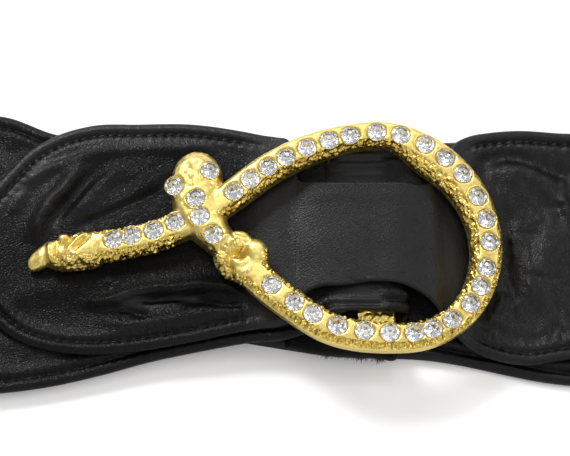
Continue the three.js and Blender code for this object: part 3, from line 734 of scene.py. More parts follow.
gold_finish = add_node(
    gold_tree,
    "ShaderNodeMath",
    {0: grain_polish_and_shade.outputs["Fac"], 1: -0.12, 2: gold_gloss.outputs["Result"]},
    operation="MULTIPLY_ADD",
)
gold_tree.links.new(gold_finish.outputs["Value"], gold_shader.inputs["Roughness"])
gold_tree.links.new(gold_bump.outputs["Normal"], gold_shader.inputs["Normal"])
gold_shader.inputs["Metallic"].default_value = 1

buckle = mesh_piece("buckle_casting", frame_points, frame_faces, [gold])
plain_points = len(frame_points) - len(grained)
# Polish and painted shade: the grained share, and half a share on the bar and bezels, makes the plate
# smoother and a deeper amber.
mark(buckle, "grain_polish_and_shade", np.append(np.clip(grained, 0, 1), np.full(plain_points, 0.5)))
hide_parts("buckle_frame")
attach(buckle, "root")

# The stones: round chatons of machine-cut crystal, foiled silver behind and glued in their seats.
# The crown has a table, 8 stars, 8 kites and 16 upper facets over a pointed back.
TABLE_SHARE = 0.74
STAR_SHARE = 0.87
CUT_CROWN = 0.55
CUT_BACK = 2.05
SPOKE_DROP = 0.26

# Machine-polished crystal: clear, with sharp sparkle from its flat facets.
crystal, crystal_shader = start_material("cut_crystal_polished")
crystal_shader.inputs["Base Color"].default_value = linear("#ffffff")
crystal_shader.inputs["Roughness"].default_value = 0
crystal_shader.inputs["IOR"].default_value = 1.56
crystal_shader.inputs["Transmission Weight"].default_value = 1
# Silver foil on the back, which throws the light back through the crystal.
foil, foil_shader = start_material("silver_foil_behind_crystal")
foil_shader.inputs["Base Color"].default_value = linear("#f4f5f7")
foil_shader.inputs["Metallic"].default_value = 1
foil_shader.inputs["Roughness"].default_value = 0.14


def ring_of(radius, up, count, offset=0.0):
    angle = (np.arange(count) + offset) * 2 * math.pi / count
    return np.c_[np.cos(angle) * radius, np.sin(angle) * radius, np.full(count, up)]


def cut_stone(middle, axis, turn):
    """A chaton's points, faces and the number of its crown faces, which come first."""
    table_ring = ring_of(STONE_RADIUS * TABLE_SHARE, CUT_CROWN, 8, 0.5)
    star_ring = ring_of(STONE_RADIUS * STAR_SHARE, CUT_CROWN * 0.6, 8, 0)
    girdle = ring_of(STONE_RADIUS, 0, 16, 0)
    lower = ring_of(STONE_RADIUS, -STONE_GIRDLE, 16, 0)
    lower[1::2, 2] -= SPOKE_DROP
    points = np.vstack([table_ring, star_ring, girdle, lower, [(0, 0, -CUT_BACK)]])
    faces = [tuple(range(8))]
    for k in range(8):
        after = (k + 1) % 8
        star, star_after = 8 + k, 8 + after
        rim = [16 + (2 * k + j) % 16 for j in range(3)]
        faces.append((k, (k - 1) % 8, star))
        faces.append((k, star, rim[1], star_after))
        faces.append((star, rim[0], rim[1]))
        faces.append((star_after, rim[1], rim[2]))
    for k in range(16):
        faces.append((16 + k, 32 + k, 32 + (k + 1) % 16, 16 + (k + 1) % 16))
    crown_faces = len(faces)
    for k in range(16):
        faces.append((32 + k, 48, 32 + (k + 1) % 16))
    side, other = across_axis(axis)
    c, s = math.cos(turn), math.sin(turn)
    way, cross = c * side + s * other, c * other - s * side
    placed = middle + points[:, :1] * way + points[:, 1:2] * cross + points[:, 2:] * axis
    return placed, faces, crown_faces


stone_dice = np.random.default_rng(5)
for name, (middle, axis) in zip(STONE_NAMES, stone_places):
    lean = stone_dice.normal(0, 0.045, 3)
    tilted = axis + lean
    tilted /= np.linalg.norm(tilted)
    points, faces, crown_faces = cut_stone(middle, tilted, stone_dice.uniform(0, math.pi / 4))
    chaton = mesh_piece(name.replace("stone", "chaton"), points, faces, [crystal, foil], smooth=False)
    for face in chaton.data.polygons[crown_faces:]:
        face.material_index = 1
    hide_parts(name)
    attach(chaton, "root")

# The right strap: soft lambskin nappa, two layers turned in and sewn 3 mm from the edge. Its free
# rounded end is pulled through the ring over the wrapped bar and lies on the left strap.
LEATHER = 1.6
CLEARANCE = 0.3
LOBE_WIDTH = 58.6
BELT_LENGTH = 400
FOLD_HEIGHT = 10
FOLD_REACH = 16
HEM = 3.0
STITCH = 2.4
FRONT_LOW = LEATHER + CLEARANCE
LOBE_LOW = FRONT_LOW + LEATHER + CLEARANCE
TURNED_LOW = FRONT_LOW + 1.2
BAR_TOP = BAR_LOW + BAR_THICKNESS
WRAP_LOW = BAR_TOP + CLEARANCE
BAND_LOW = WRAP_LOW + LEATHER + CLEARANCE
WALL_MIDDLE = LEATHER / 2
LOBE_ROWS = [
    (-1.5725, -0.012, -0.008, 0, 0),
    (-1.567, -0.11, 0.09, 0, 0),
    (-1.545, -0.21, 0.17, 0, 0),
    (-1.492, -0.29, 0.24, 0, 0),
    (-1.425, -0.36, 0.323, 0, 0),
    (-1.342, -0.415, 0.417, 0.01, 0),
    (-1.233, -0.451, 0.486, 0.08, 0.2),
    (-1.083, -0.47, 0.53, 0.26, 0.6),
    (-0.9, -0.46, 0.532, 0.4, 0.8),
    (-0.683, -0.426, 0.527, 0.53, 0.8),
    (-0.467, -0.383, 0.488, 0.64, 0.6),
    (-0.39, -0.372, 0.469, 0.69, 0.55),
    (-0.33, -0.366, 0.458, 0.72, 0.5),
    (-0.29, -0.356, 0.447, 0.75, 0.4),
    (-0.268, -0.345, 0.41, 0.77, 0.3),
    (-0.25, -0.325, 0.27, 0.8, 0.2),
    (-0.222, -0.24, 0.248, 0.86, 0.1),
    (-0.167, -0.212, 0.246, 0.95, 0),
    (-0.067, -0.206, 0.245, 1, 0),
    (0.05, -0.189, 0.245, 1, 0),
    (0.167, -0.2, 0.245, 1, 0),
]
RIGHT_ROWS = [
    (0.267, -0.252, 0.245, 0.85, 0),
    (0.333, -0.325, 0.33, 0.56, 0.1),
    (0.392, -0.41, 0.448, 0.42, 0.2),
    (0.45, -0.453, 0.486, 0.3, 0.3),
    (0.533, -0.487, 0.507, 0.21, 0.3),
    (0.65, -0.506, 0.52, 0.14, 0.3),
    (0.833, -0.48, 0.511, 0.06, 0.15),
    (1.117, -0.475, 0.51, 0, 0),
]
END_EDGES = (-0.52, 0.54)
BACK_ROWS = [
    (1.6, -0.55, 0.53),
    (0.8, -0.575, 0.5),
    (0.27, -0.472, 0.48),
    (-0.15, -0.45, 0.47),
    (-0.3, -0.425, 0.46),
    (-0.53, -0.385, 0.44),
]


def edge_y(share):
    return RING_Y + share * LOBE_WIDTH


def risen(low, high, rise):
    return low + (high - low) * rise + WALL_MIDDLE


def row_of(x, z, low, high, droop=0.0):
    return (x, z, edge_y(low), edge_y(high), droop)


def end_fold(side):
    """Rows round the soft fold at the belt's end, from the front layer to the back one."""
    radius = FOLD_HEIGHT / 2 - WALL_MIDDLE
    centre = side * (BELT_LENGTH / 2 - radius - WALL_MIDDLE)
    start = FRONT_LOW + WALL_MIDDLE
    rows = [
        row_of(centre - side * FOLD_REACH * 1.6, start, *END_EDGES),
        row_of(centre - side * FOLD_REACH, start + FOLD_HEIGHT * 0.12, *END_EDGES),
        row_of(centre - side * FOLD_REACH * 0.45, FOLD_HEIGHT * 0.84 - WALL_MIDDLE, *END_EDGES),
    ]
    for angle in np.linspace(math.pi / 2, -math.pi / 2, 7):
        place = centre + side * radius * math.cos(angle)
        rows.append(row_of(place, FOLD_HEIGHT / 2 + radius * math.sin(angle), *END_EDGES))
    rows += [row_of(centre - side * back, WALL_MIDDLE, *END_EDGES) for back in (2.5, 10)]
    return rows


seam_x = RING_X + BACK_ROWS[-1][0] * RING_LENGTH
right_rows = [
    row_of(RING_X + x * RING_LENGTH, risen(LOBE_LOW, BAND_LOW, rise), low, high, droop)
    for x, low, high, rise, droop in LOBE_ROWS
]
right_rows += [
    row_of(RING_X + x * RING_LENGTH, risen(FRONT_LOW, BAND_LOW, rise), low, high, droop)
    for x, low, high, rise, droop in RIGHT_ROWS
]
right_rows += end_fold(1)
right_rows += [row_of(RING_X + x * RING_LENGTH, WALL_MIDDLE, low, high) for x, low, high in BACK_ROWS[:-1]]
right_rows.append(row_of(seam_x + CLEARANCE / 2, WALL_MIDDLE, *BACK_ROWS[-1][1:]))

HASH = np.random.default_rng(23).uniform(-1, 1, (128, 128))


def waves(u, v):
    """Soft random waves between -1 and 1, about one unit apart."""
    i, j = np.floor(u).astype(int), np.floor(v).astype(int)
    a, b = u - i, v - j
    a, b = a * a * (3 - 2 * a), b * b * (3 - 2 * b)
    low = HASH[i % 128, j % 128] * (1 - a) + HASH[(i + 1) % 128, j % 128] * a
    high = HASH[i % 128, (j + 1) % 128] * (1 - a) + HASH[(i + 1) % 128, (j + 1) % 128] * a
    return low * (1 - b) + high * b


def wrinkles(x, y, turn, long, wide):
    """Sharp little ridges that run one way, long along it and narrow across."""
    c, s = math.cos(math.radians(turn)), math.sin(math.radians(turn))
    along, across = (x * c + y * s) / long, (y * c - x * s) / wide
    bent_across = across + 0.7 * waves(along * 1.3 + 9, across * 0.4)
    return (1 - np.abs(waves(along, bent_across))) ** 4


def hem_height(inset, run, worn):
    """The turned edge: a full roll, the sunk stitch line, and puckers on both sides of it."""
    phase = 2 * math.pi * (run / STITCH + 0.25 * waves(run / 7, worn))
    depth = 0.26 + 0.12 * waves(run / 5, worn + 9)
    pucker = np.cos(phase) * np.exp(-(((inset - HEM - 0.5) / 1.5) ** 2)) * depth
    roll = 0.4 * np.exp(-(((inset - 1.5) / 1.1) ** 2))
    groove = -0.7 * np.exp(-(((inset - HEM) / 0.5) ** 2))
    puff = 0.4 * np.exp(-(((inset - HEM - 1.7) / 1.2) ** 2))
    return roll + groove + puff + pucker


def lengthwise(rows, fine_from, fine_to, fine=0.55, coarse=2.6):
    """Places along a strap's rows, close together where it is seen from above."""
    change = np.diff(np.array(rows), axis=0)[:, :4] * (1, 1, 0.7, 0.7)
    places = np.append(0, np.cumsum(np.linalg.norm(change, axis=1)))
    dense = np.linspace(0, places[-1], 6000)
    table = through(rows, places, dense)
    chosen = [0]
    for k in range(1, len(dense)):
        shown = fine_from < table[k, 0] < fine_to and table[k, 1] > FRONT_LOW
        round_fold = abs(table[k, 0]) > BELT_LENGTH / 2 - 12
        step = fine if shown else 0.9 if round_fold else coarse
        if dense[k] - dense[chosen[-1]] >= step:
            chosen.append(k)
    if chosen[-1] != len(dense) - 1:
        chosen.append(len(dense) - 1)
    return table[chosen]


EDGE_INSETS = [0, 0.12, 0.3, 0.55, 0.85, 1.2, 1.6, 2.0, 2.4, 2.75, 3.1, 3.5, 4.0, 4.5]


def crosswise(width, spacing=0.62):
    insets = np.array(EDGE_INSETS) / width
    middle = np.linspace(insets[-1], 1 - insets[-1], round(width * (1 - 2 * insets[-1]) / spacing))
    return np.concatenate([insets[:-1], middle, 1 - insets[:-1][::-1]])


def leather_sheet(name, table, facing, relief, lean, outline_of, materials):
    """A strap with rounded, hemmed edges from its fine rows. Returns the piece and its two skins."""
    x, z, low, high, droop = table.T
    z = np.maximum(z, WALL_MIDDLE)
    shares = crosswise(LOBE_WIDTH)
    run = np.append(0, np.cumsum(np.hypot(np.diff(x), np.diff(z)) + 1e-6))
    slope_x, slope_z = np.gradient(x, run), np.gradient(z, run)
    size = np.maximum(np.hypot(slope_x, slope_z), 1e-6)
    out_x, out_z = -slope_z / size * facing, slope_x / size * facing
    spread_y = low[:, None] + (high - low)[:, None] * shares
    length, flat_x, flat_z = (np.repeat(each[:, None], len(shares), axis=1) for each in (run, x, z))
    flat_x = lean(flat_x, spread_y, flat_z)
    inset, along, _ = line_distance(length, spread_y, outline_of(run, low, high))
    wall = WALL_MIDDLE * np.sqrt(np.clip(1 - (1 - np.clip(inset / WALL_MIDDLE, 0, 1)) ** 2, 0, 1))
    sag = droop[:, None] * LEATHER * (2 * shares - 1) ** 2
    main, surface, lining, wear_and_sheen = relief(flat_x, spread_y, flat_z, inset, along)
    upper_reach = wall * (1 + surface / WALL_MIDDLE) + main - sag
    lower_reach = -wall * (1 + lining / WALL_MIDDLE) + main * 0.85 - sag
    flat_z = flat_z + np.maximum(0.03 - flat_z + np.abs(lower_reach * out_z[:, None]), 0) * (flat_z < 2)
    outer_x, outer_z = flat_x + out_x[:, None] * upper_reach, flat_z + out_z[:, None] * upper_reach
    outer = np.stack([outer_x, spread_y, outer_z], axis=2)
    inner_x, inner_z = flat_x + out_x[:, None] * lower_reach, flat_z + out_z[:, None] * lower_reach
    inner = np.stack([inner_x, spread_y, inner_z], axis=2)
    section = np.concatenate([outer, inner[:, -2:0:-1]], axis=1)
    rows, count = section.shape[:2]
    index = np.arange(rows * count).reshape(rows, count)
    after = np.roll(index, -1, axis=1)
    quads = np.stack([index[:-1], after[:-1], after[1:], index[1:]], axis=2).reshape(-1, 4)
    if facing > 0:
        quads = quads[:, ::-1]
    piece = mesh_piece(name, section.reshape(-1, 3), quads.tolist(), materials)
    # The mark of wear and of painted sheen, for the material's specular strength.
    mark(piece, "wear_and_sheen", np.concatenate([wear_and_sheen, wear_and_sheen[:, -2:0:-1]], axis=1).ravel())
    return piece, outer, inner, inset, along


def free_outline(run, low, high):
    """Along the lower edge to the tip, round it, and back along the upper edge."""
    return np.vstack([np.c_[run, low][::-1], np.c_[run, high][1:]])


# A fold's height, its width on each side of the crest, and the crest's line, in millimetres.
FREE_FOLDS = [
    (0.45, 1.3, 1.6,
     [(-63.2, 15.5), (-60.4, 18), (-56.8, 20.4), (-52.4, 21.7), (-46, 23.8), (-36, 24.8), (-16, 24)]),
    (0.4, 1.0, 1.4, [(-66.4, 8), (-64.6, 12), (-62, 14.8)]),
    (1.15, 2.6, 1.5, [(-59.8, 0), (-59, 6), (-56.4, 11), (-53.6, 13.7), (-51.2, 17.1), (-48, 21.6)]),
    (-0.6, 1.3, 1.8, [(-56.6, 4.5), (-53.6, 9.8), (-50.4, 14.2), (-47, 18.8), (-44, 21.4)]),
    (0.6, 1.6, 2.4, [(-51.6, 6.6), (-47.6, 12), (-42.8, 17.3), (-38.2, 21.6)]),
    (-0.35, 1.2, 1.2, [(-40, 14), (-34, 18), (-28, 21.5)]),
    (0.4, 2.2, 2.2, [(-38, 13.5), (-32, 17.6), (-26, 20)]),
    (-0.6, 0.7, 1.6, [(-50.4, 4.8), (-42.8, 8.2), (-36.4, 11.2), (-29, 14.6)]),
    (0.5, 2.6, 3.6,
     [(-67, -17), (-63.6, -12.6), (-55.2, -10), (-46, -9.6), (-36.4, -9), (-26.4, -8.8), (-15, -10.4)]),
    (1.2, 2.0, 0.7,
     [(-48.6, -15.2), (-40.4, -14.2), (-35.6, -12.6), (-25.2, -12), (-18.8, -11.4), (-7, -13)]),
    (-0.8, 0.6, 0.9, [(-35, -13.8), (-28.4, -13.7), (-24, -13.4), (-17.6, -12.8)]),
    (-0.6, 0.6, 1.0, [(-41.6, -16.6), (-38, -16.1), (-35.2, -17), (-31.4, -18)]),
    (-0.6, 0.6, 1.2, [(-26, -15), (-20.4, -14.4), (-14.4, -15.3), (-9, -15.6)]),
    (0.45, 1.0, 1.8, [(-44, -19), (-36, -19.6), (-28, -18.6), (-18, -16.6), (-8, -17)]),
    (-0.7, 2.2, 1.9,
     [(45.4, 19), (48, 21.6), (51.6, 23.4), (56, 23.3), (60.6, 21.6), (66, 19.6), (72, 18.4)]),
    (0.7, 2.2, 4.6, [(49.6, 17.4), (52.2, 19.6), (56, 20.6), (60.4, 19.4), (64, 17.8), (70, 16.6)]),
    (-0.8, 2.4, 3.4, [(51.8, 14.4), (53, 6), (53, -1.5), (54, -7.8), (55, -14.2)]),
    (0.6, 4.4, 4.2, [(67.6, 9), (65.2, 1.9), (62, -4.9), (59.6, -12.1), (58.6, -17)]),
    (-0.26, 0.5, 0.5, [(54.4, 4.2), (58.6, 3.9), (62.8, 4.3)]),
    (-0.26, 0.5, 0.5, [(56.4, -6.8), (61.2, -7.4), (66.8, -7.6)]),
    (-0.26, 0.5, 0.5, [(62.4, 10.7), (68.8, 11.1)]),
    (0.8, 2.0, 2.4, [(46.6, -16.6), (50.2, -14.4), (53, -10.8)]),
    (0.3, 0.9, 0.6, [(45.6, -18.6), (50.8, -18.3)]),
    (-0.35, 0.6, 0.8, [(45.6, -19.8), (52.4, -20.1)]),
    (0.5, 1.2, 2.0, [(66, 15), (68.6, 10), (71, 5)]),
    (-0.4, 0.6, 0.6, [(49.4, -20.3), (48.4, -24.4)]),
    (-0.4, 0.6, 0.6, [(51.8, -20), (50.6, -24.6)]),
    (-0.3, 0.6, 0.6, [(54.4, -20.4), (53.8, -24.6)]),
    (-0.5, 0.6, 0.6, [(64.8, -17.6), (63, -24.4)]),
    (-0.4, 0.6, 0.6, [(65.4, -18.4), (66.4, -24.4)]),
]
BAND_FOLDS = [
    (-0.14, 1.8, 1.4, [(1.6, 13), (1.2, 3), (2.4, -6), (3.4, -10)]),
    (0.1, 2.4, 3.4, [(5.6, 12.4), (5.0, 2), (6.4, -8)]),
    (-0.3, 0.4, 0.4, [(15, -9.6), (17.4, -11), (19.2, -9.8)]),
    (0.25, 0.5, 0.5, [(19.4, -9.4), (21.6, -10.8)]),
    (0.3, 0.6, 0.6, [(23, -10.9), (27, -11.6), (31, -13.6)]),
]


def headroom(x, y):
    """0 under the casting, where the leather is pressed flat, and 1 clear of it."""
    room = np.ones(x.shape)
    for line in (ring_line, stem_line, knot_line):
        gap, _, _ = line_distance(x, y, line[::5, :2])
        room = np.minimum(room, blend_step(1, 3.2, gap - LIMB_WIDTH / 2 + 0.6))
    return room


def right_relief(x, y, z, inset, along):
    ring_share = (x - RING_X) / RING_LENGTH
    under = blend_step(-0.5, -0.36, ring_share) * (1 - blend_step(0.4, 0.5, ring_share))
    front = blend_step(WALL_MIDDLE + 0.2, FRONT_LOW, z)
    main = 2.0 * (folds_at(x, y, FREE_FOLDS) * (1 - under) + 0.6 * folds_at(x, y, BAND_FOLDS)) * front
    worked = np.exp(-(((x + 55) / 13) ** 2) - ((y - 13) / 11) ** 2) + 0.5 * np.exp(-(((y + 21) / 4) ** 2))
    creased = 0.1 * wrinkles(x, y, 150, 16, 5) + 0.1 * wrinkles(x + 50, y, 20, 12, 3.4)
    right_ply = blend_step(44, 50, x)
    rib_phase = 2 * math.pi * along / 1.3 + 2 * waves(along / 6, inset / 3)
    ribs = np.cos(rib_phase) * np.exp(-(((inset - 2) / 1.8) ** 2))
    ribs = 0.2 * ribs * right_ply * blend_step(0.5, 1.2, inset)
    lengthways = right_ply * (0.42 * wrinkles(x, y, 84, 9, 1.7) + 0.34 * wrinkles(x + 7, y, 96, 8, 2.6))
    fine = worked * (0.2 * wrinkles(x + 9, y, 40, 7, 1.5) + 0.2 * wrinkles(x + 9, y + 30, 5, 7, 1.3))
    soft = 0.5 * waves(x / 12, y / 9) + 0.14 * waves(x / 4 + 5, y / 4)
    inward = blend_step(3.2, 6, inset)
    calm = 1 - 0.75 * under
    room = headroom(x, y)
    main = np.where(main > 0, main * room, main)
    hem = hem_height(inset, along, 1.0)
    ply_edge = -0.34 * (1 - blend_step(0.7, 1.1, inset)) * (x < 4) * (y < 0)
    surface = hem * (1 - under) + ribs + ply_edge + lengthways * blend_step(3.2, 6, inset)
    surface = (surface + (creased + fine + soft - 0.2) * inward * calm) * front
    surface = np.where(surface > 0, surface * room, surface)
    # Wear and painted sheen: the band under the ring, the right lobe and the edges get more shine, and as
    # painted highlights so do the upper hem, the worked corner and two patches on the low crest. The back
    # layer gets a fixed painted sheen.
    upper_hem_sheen = blend_step(0, 6, y) * blend_step(9, 4, inset)
    crest_glint_patches = np.exp(-(((x + 33.6) / 5) ** 2) - ((y + 14.4) / 1.5) ** 2)
    crest_glint_patches += np.exp(-(((x + 23.8) / 2.6) ** 2) - ((y + 14) / 1.2) ** 2)
    wear_and_sheen = 0.12 + 0.88 * under + 0.55 * right_ply + 0.15 * blend_step(8, 3, inset)
    wear_and_sheen += (1 - under) * (1 - right_ply) * (0.65 * upper_hem_sheen + 0.5 * worked + 2.2 * crest_glint_patches)
    lining = (hem + ribs + 0.3 * soft) * (1 - front)
    return main, surface, lining, np.where(front > 0.5, wear_and_sheen, 0.6)


def stays(x, y, z):
    return x


# Lambskin dyed through and polished: near black with a soft sheen. Its specular strength is raised where it
# is rubbed, and also as painted sheen where highlights fall on chosen crests, hems and bands. Real pores
# are about 0.3 mm apart, and are drawn coarser, at 0.6 mm, so that they show.
nappa, nappa_shader = start_material("black_lambskin_nappa_polished")
nappa_tree = nappa.node_tree
nappa_place = add_node(nappa_tree, "ShaderNodeTexCoord").outputs["Object"]
pores = add_node(
    nappa_tree,
    "ShaderNodeTexVoronoi",
    {"Vector": nappa_place, "Scale": 1 / (0.6 * MM)},
    feature="DISTANCE_TO_EDGE",
)
pore_depth = add_node(
    nappa_tree,
    "ShaderNodeMapRange",
    {"Value": pores.outputs["Distance"], "From Min": 0.0, "From Max": 0.3},
)
creases = add_node(
    nappa_tree,
    "ShaderNodeTexNoise",
    {"Vector": nappa_place, "Scale": 1 / (1.6 * MM), "Detail": 3, "Roughness": 0.5},
)
skin_height = add_node(
    nappa_tree,
    "ShaderNodeMath",
    {0: creases.outputs["Fac"], 1: 0.7, 2: pore_depth.outputs["Result"]},
    operation="MULTIPLY_ADD",
)
nappa_bump = add_node(
    nappa_tree,
    "ShaderNodeBump",
    {"Height": skin_height.outputs["Value"], "Distance": 0.055 * MM},
)
wear_and_sheen_mark = add_node(nappa_tree, "ShaderNodeAttribute", attribute_name="wear_and_sheen")
nappa_calm = add_node(
    nappa_tree,
    "ShaderNodeMapRange",
    {"Value": wear_and_sheen_mark.outputs["Fac"], "From Min": 0.0, "From Max": 1.0, "To Min": 1.3, "To Max": 0.65},
)
nappa_tree.links.new(nappa_calm.outputs["Result"], nappa_bump.inputs["Strength"])
nappa_tone = add_node(
    nappa_tree,
    "ShaderNodeMix",
    {"Factor": creases.outputs["Fac"], 6: linear("#050506"), 7: linear("#0e0e10")},
    data_type="RGBA",
)
nappa_gloss = add_node(
    nappa_tree,
    "ShaderNodeMapRange",
    {"Value": creases.outputs["Fac"], "From Min": 0.3, "From Max": 0.7, "To Min": 0.24, "To Max": 0.4},
)
nappa_tree.links.new(nappa_tone.outputs[2], nappa_shader.inputs["Base Color"])
nappa_finish = add_node(
    nappa_tree,
    "ShaderNodeMath",
    {0: wear_and_sheen_mark.outputs["Fac"], 1: 0.08, 2: nappa_gloss.outputs["Result"]},
    operation="MULTIPLY_ADD",
)
nappa_tree.links.new(nappa_finish.outputs["Value"], nappa_shader.inputs["Roughness"])
nappa_tree.links.new(nappa_bump.outputs["Normal"], nappa_shader.inputs["Normal"])
# Wear and painted sheen: the mark raises the specular strength from 0.06 to 0.26.
nappa_wear_and_sheen = add_node(
    nappa_tree,
    "ShaderNodeMapRange",
    {"Value": wear_and_sheen_mark.outputs["Fac"], "From Min": 0.0, "From Max": 1.0, "To Min": 0.06, "To Max": 0.26},
)
nappa_tree.links.new(nappa_wear_and_sheen.outputs["Result"], nappa_shader.inputs["Specular IOR Level"])

right_table = lengthwise(right_rows, -80, 76)
right_strap, right_outer, right_inner, right_inset, right_along = leather_sheet(
    "right_nappa_strap", right_table, 1, right_relief, stays, free_outline, [nappa]
)
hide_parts("right_strap")
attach(right_strap, "root")

# The left strap: the same nappa, gathered round the cross bar and turned back under itself. It
# runs under the free end to the left and comes back underneath to the seam at the centre back.
TAIL_WIDTH = 72
RIB_PITCH = 2.4
RIB_HEIGHT = 0.7
LEFT_ROWS = [
    (-0.167, -0.37, 0.41, 0.78),
    (-0.3, -0.41, 0.44, 0.57),
    (-0.433, -0.419, 0.46, 0.45),
    (-0.633, -0.453, 0.477, 0.32),
    (-0.833, -0.492, 0.485, 0.14),
    (-1.033, -0.547, 0.49, 0.04),
    (-1.233, -0.593, 0.506, 0),
    (-1.433, -0.62, 0.583, 0),
    (-1.633, -0.624, 0.605, 0),
    (-2.2, -0.59, 0.58, 0),
    (-2.8, -0.54, 0.55, 0),
]
TURNED_ROWS = [
    (-0.3, -0.43, 0.36, 0),
    (-0.2, -0.455, 0.37, 0.5),
    (-0.07, -0.47, 0.38, 1),
    (0.06, -0.477, 0.38, 1),
]
widest = (0.624 + 0.605) * LOBE_WIDTH


def spread(share):
    return share * (1 + (TAIL_WIDTH / widest - 1) * blend_step(0.5, 0.62, abs(share)))


def inner_edge(side):
    return RING_Y + side * (RING_WIDTH / 2 - LIMB_WIDTH * (0.38 if side > 0 else 0.44))


wrap_low = inner_edge(-1) + LIMB_WIDTH * 0.5
wrap_high = inner_edge(1) + 1.6
turned_low = edge_y(-0.478)
turned_high = edge_y(0.38)
turn_radius = (WRAP_LOW - TURNED_LOW) / 2
turn_x = BAR_X + BAR_WIDTH / 2 + 0.5
turn_z = TURNED_LOW + WALL_MIDDLE + turn_radius
left_rows = [
    row_of(RING_X + x * RING_LENGTH, risen(FRONT_LOW, TURNED_LOW, rise), low, high)
    for x, low, high, rise in TURNED_ROWS
]
for k in range(7):
    angle = -math.pi / 2 + math.pi * k / 6
    mix = 1 - blend_step(0, 0.4, k / 6)
    left_rows.append(
        (
            turn_x + turn_radius * math.cos(angle),
            turn_z + turn_radius * math.sin(angle),
            wrap_low + (turned_low - wrap_low) * mix,
            wrap_high + (turned_high - wrap_high) * mix,
            0,
        )
    )
left_rows.append((BAR_X, WRAP_LOW + WALL_MIDDLE, wrap_low, wrap_high, 0))
left_rows.append((BAR_X - BAR_WIDTH * 0.8, WRAP_LOW + WALL_MIDDLE, wrap_low, wrap_high, 0))
left_rows += [
    row_of(RING_X + x * RING_LENGTH, risen(FRONT_LOW, WRAP_LOW, rise), spread(low), spread(high))
    for x, low, high, rise in LEFT_ROWS
]
left_rows += end_fold(-1)
left_rows.append(row_of(-(RING_X + BACK_ROWS[0][0] * RING_LENGTH), WALL_MIDDLE, *BACK_ROWS[0][1:]))
left_rows.append(row_of(seam_x - CLEARANCE / 2, WALL_MIDDLE, *BACK_ROWS[-1][1:]))


def gathered_outline(run, low, high):
    """Up the raw end, and along both edges."""
    return np.vstack([np.c_[run, low][::-1], np.c_[run, high]])


LEFT_FOLDS = [
    (0.5, 2, 3, [(-69, 31), (-63, 28.6), (-57, 27)]),
    (-0.4, 1, 1.4, [(-69, 26), (-64, 25)]),
    (0.5, 3, 3, [(-70, -22), (-60, -24), (-48, -24)]),
]


def gathered_lean(x, y, z):
    """The gathered end reaches further right at its upper side."""
    return x + 5.2 * blend_step(18, 28, x) * blend_step(10.5, 15, y)


def left_relief(x, y, z, inset, along):
    front = blend_step(WALL_MIDDLE + 0.2, FRONT_LOW, z)
    wrapped = (z > WRAP_LOW) * blend_step(7, 15, x) * (1 - blend_step(21, 25.5, x))
    beside_band = blend_step(edge_y(0.26), edge_y(0.3), y) + 1 - blend_step(edge_y(-0.27), edge_y(-0.23), y)
    gathers = RIB_HEIGHT * (0.5 + 0.5 * np.cos(2 * math.pi * y / RIB_PITCH)) * wrapped * beside_band
    outside = blend_step(-50, -62, x)
    over_bar = blend_step(8, 14, x) * (1 - blend_step(27, 31, x))
    bulge = 1.3 * (z > WRAP_LOW) * blend_step(14.5, 21.5, y) * over_bar
    main = folds_at(x, y, LEFT_FOLDS) * outside * front + gathers + bulge
    creased = 0.26 * wrinkles(x, y, 100, 14, 4) + 0.2 * wrinkles(x, y, 30, 12, 4)
    soft = 0.2 * waves(x / 8 + 3, y / 8) + 0.1 * waves(x / 3 + 5, y / 3)
    inward = blend_step(3.2, 6, inset)
    hem = hem_height(inset, along, 4.0)
    surface = (hem * (1 - wrapped) + (creased + soft - 0.1) * inward * outside) * front
    # The last value is wear and painted sheen: more on the wrap round the bar, which lies in the ring's
    # shade.
    return main, surface, (hem + 0.3 * soft) * (1 - front), 0.4 + 0.6 * wrapped


left_table = lengthwise(left_rows, -80, 40)
left_strap, left_outer, _, left_inset, left_along = leather_sheet(
    "left_nappa_strap", left_table, -1, left_relief, gathered_lean, gathered_outline, [nappa]
)
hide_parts("left_strap")
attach(left_strap, "root")

# The sewing: one row of black thread, 3 mm from each turned edge, sunk in its groove. Each stitch
# is a short length of thread that dips into the leather at both ends.
THREAD = 0.14


def thread_run(path, radius, sides=6):
    """A tube along a few points, thin at its ends."""
    steps = np.gradient(path, axis=0)
    steps /= np.linalg.norm(steps, axis=1)[:, None]
    up = np.array((0.0, 0.0, 1.0))
    sections = []
    for k, (centre, step) in enumerate(zip(path, steps)):
        side = np.cross(step, up)
        side /= max(np.linalg.norm(side), 1e-6)
        other = np.cross(side, step)
        size = radius * (0.35 if k in (0, len(path) - 1) else 1)
        angle = np.arange(sides)[:, None] * 2 * math.pi / sides
        sections.append(centre + size * (np.cos(angle) * side + np.sin(angle) * other))
    return skin(sections)


def seam(skin_points, inset, along, shown):
    """Stitches where the seam line runs over the shown part of a strap's skin."""
    on_line = shown & (np.abs(inset - HEM) < 0.45)
    spots, places = skin_points[on_line], along[on_line]
    stitches = []
    for k in range(int(places.min() / STITCH), int(places.max() / STITCH) + 1):
        inside = [abs(places - (k + share) * STITCH) < 0.35 for share in (0.1, 0.44, 0.78)]
        if min(hit.sum() for hit in inside) > 0:
            path = np.array([spots[hit].mean(axis=0) for hit in inside])
            if np.linalg.norm(path[2] - path[0]) < STITCH:
                path[:, 2] += (-0.05, 0.1, -0.05)
                stitches.append(thread_run(path, THREAD))
    return joined(stitches)


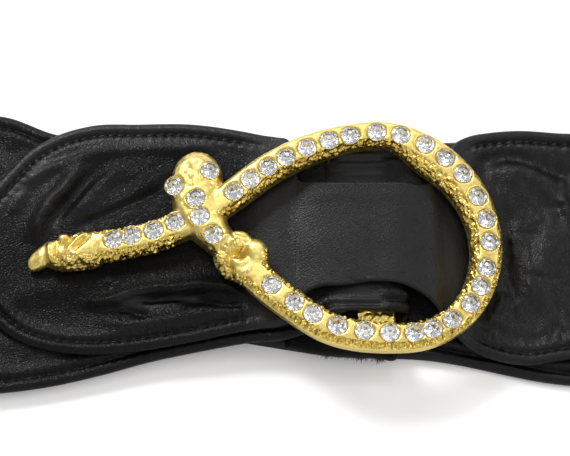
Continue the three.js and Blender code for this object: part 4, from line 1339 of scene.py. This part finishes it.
# Spun polyester: a dull black, a little greyer than the leather.
thread, thread_shader = start_material("black_polyester_thread")
thread_shader.inputs["Base Color"].default_value = linear("#101012")
thread_shader.inputs["Roughness"].default_value = 0.8
thread_shader.inputs["Specular IOR Level"].default_value = 0.2
right_x, right_z = right_outer[:, :, 0], right_outer[:, :, 2]
left_x, left_z = left_outer[:, :, 0], left_outer[:, :, 2]
back_x, back_z = right_inner[:, :, 0], right_inner[:, :, 2]
right_shown = (right_z > FRONT_LOW + 1) & (np.abs(right_x - 18) > 28) & (np.abs(right_x) < 78)
left_shown = (left_z > FRONT_LOW + 1) & (left_x < -46) & (left_x > -80)
back_shown = (back_z < 2.2) & (back_x > -20) & (back_x < 78)
seams = [
    seam(right_outer, right_inset, right_along, right_shown),
    seam(left_outer, left_inset, left_along, left_shown),
    seam(right_inner, right_inset, right_along, back_shown),
]
stitching = mesh_piece("seam_stitches", *joined(seams), [thread])
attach(stitching, "root")

# Frayed suede: fibres of the strap's raw flesh side, which stick out under the ring where the turned
# end was cut. They are thin curled hairs in tufts.
FIBRES = 150
FIBRE_RADIUS = 0.05
fibre_dice = np.random.default_rng(31)
fibres = []
tufts = np.append(fibre_dice.uniform(9, 23, 14), (21.8, 22.2, 22.6))
for _ in range(FIBRES):
    root_x = float(np.clip(fibre_dice.choice(tufts) + fibre_dice.normal(0, 0.45), 8, 24))
    root_y = np.interp(root_x, (8, 14, 22, 27), (-26.3, -27.0, -27.4, -27.4))
    start = np.array((root_x, root_y + 0.5, TURNED_LOW - 0.1 + fibre_dice.uniform(0, 0.9)))
    way = np.array((fibre_dice.normal(0, 0.6), -1, fibre_dice.normal(-0.25, 0.3)))
    reach = fibre_dice.uniform(0.6, 1.5) * way / np.linalg.norm(way)
    bend = np.array((fibre_dice.normal(0, 0.35), fibre_dice.normal(0, 0.25), fibre_dice.normal(0, 0.2)))
    path = np.array([start + reach * t + bend * t * t for t in (0, 0.35, 0.7, 1)])
    path[:, 2] = np.maximum(path[:, 2], 0.4)
    fibres.append(thread_run(path, FIBRE_RADIUS, 4))
# The raw flesh side, loose and matt: dark grey hairs with no shine, drawn thicker than real ones so
# that they show.
suede, suede_shader = start_material("black_suede_flesh_side_frayed")
suede_shader.inputs["Base Color"].default_value = linear("#232325")
suede_shader.inputs["Roughness"].default_value = 0.9
fraying = mesh_piece("frayed_suede_fibres", *joined(fibres), [suede])
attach(fraying, "root")
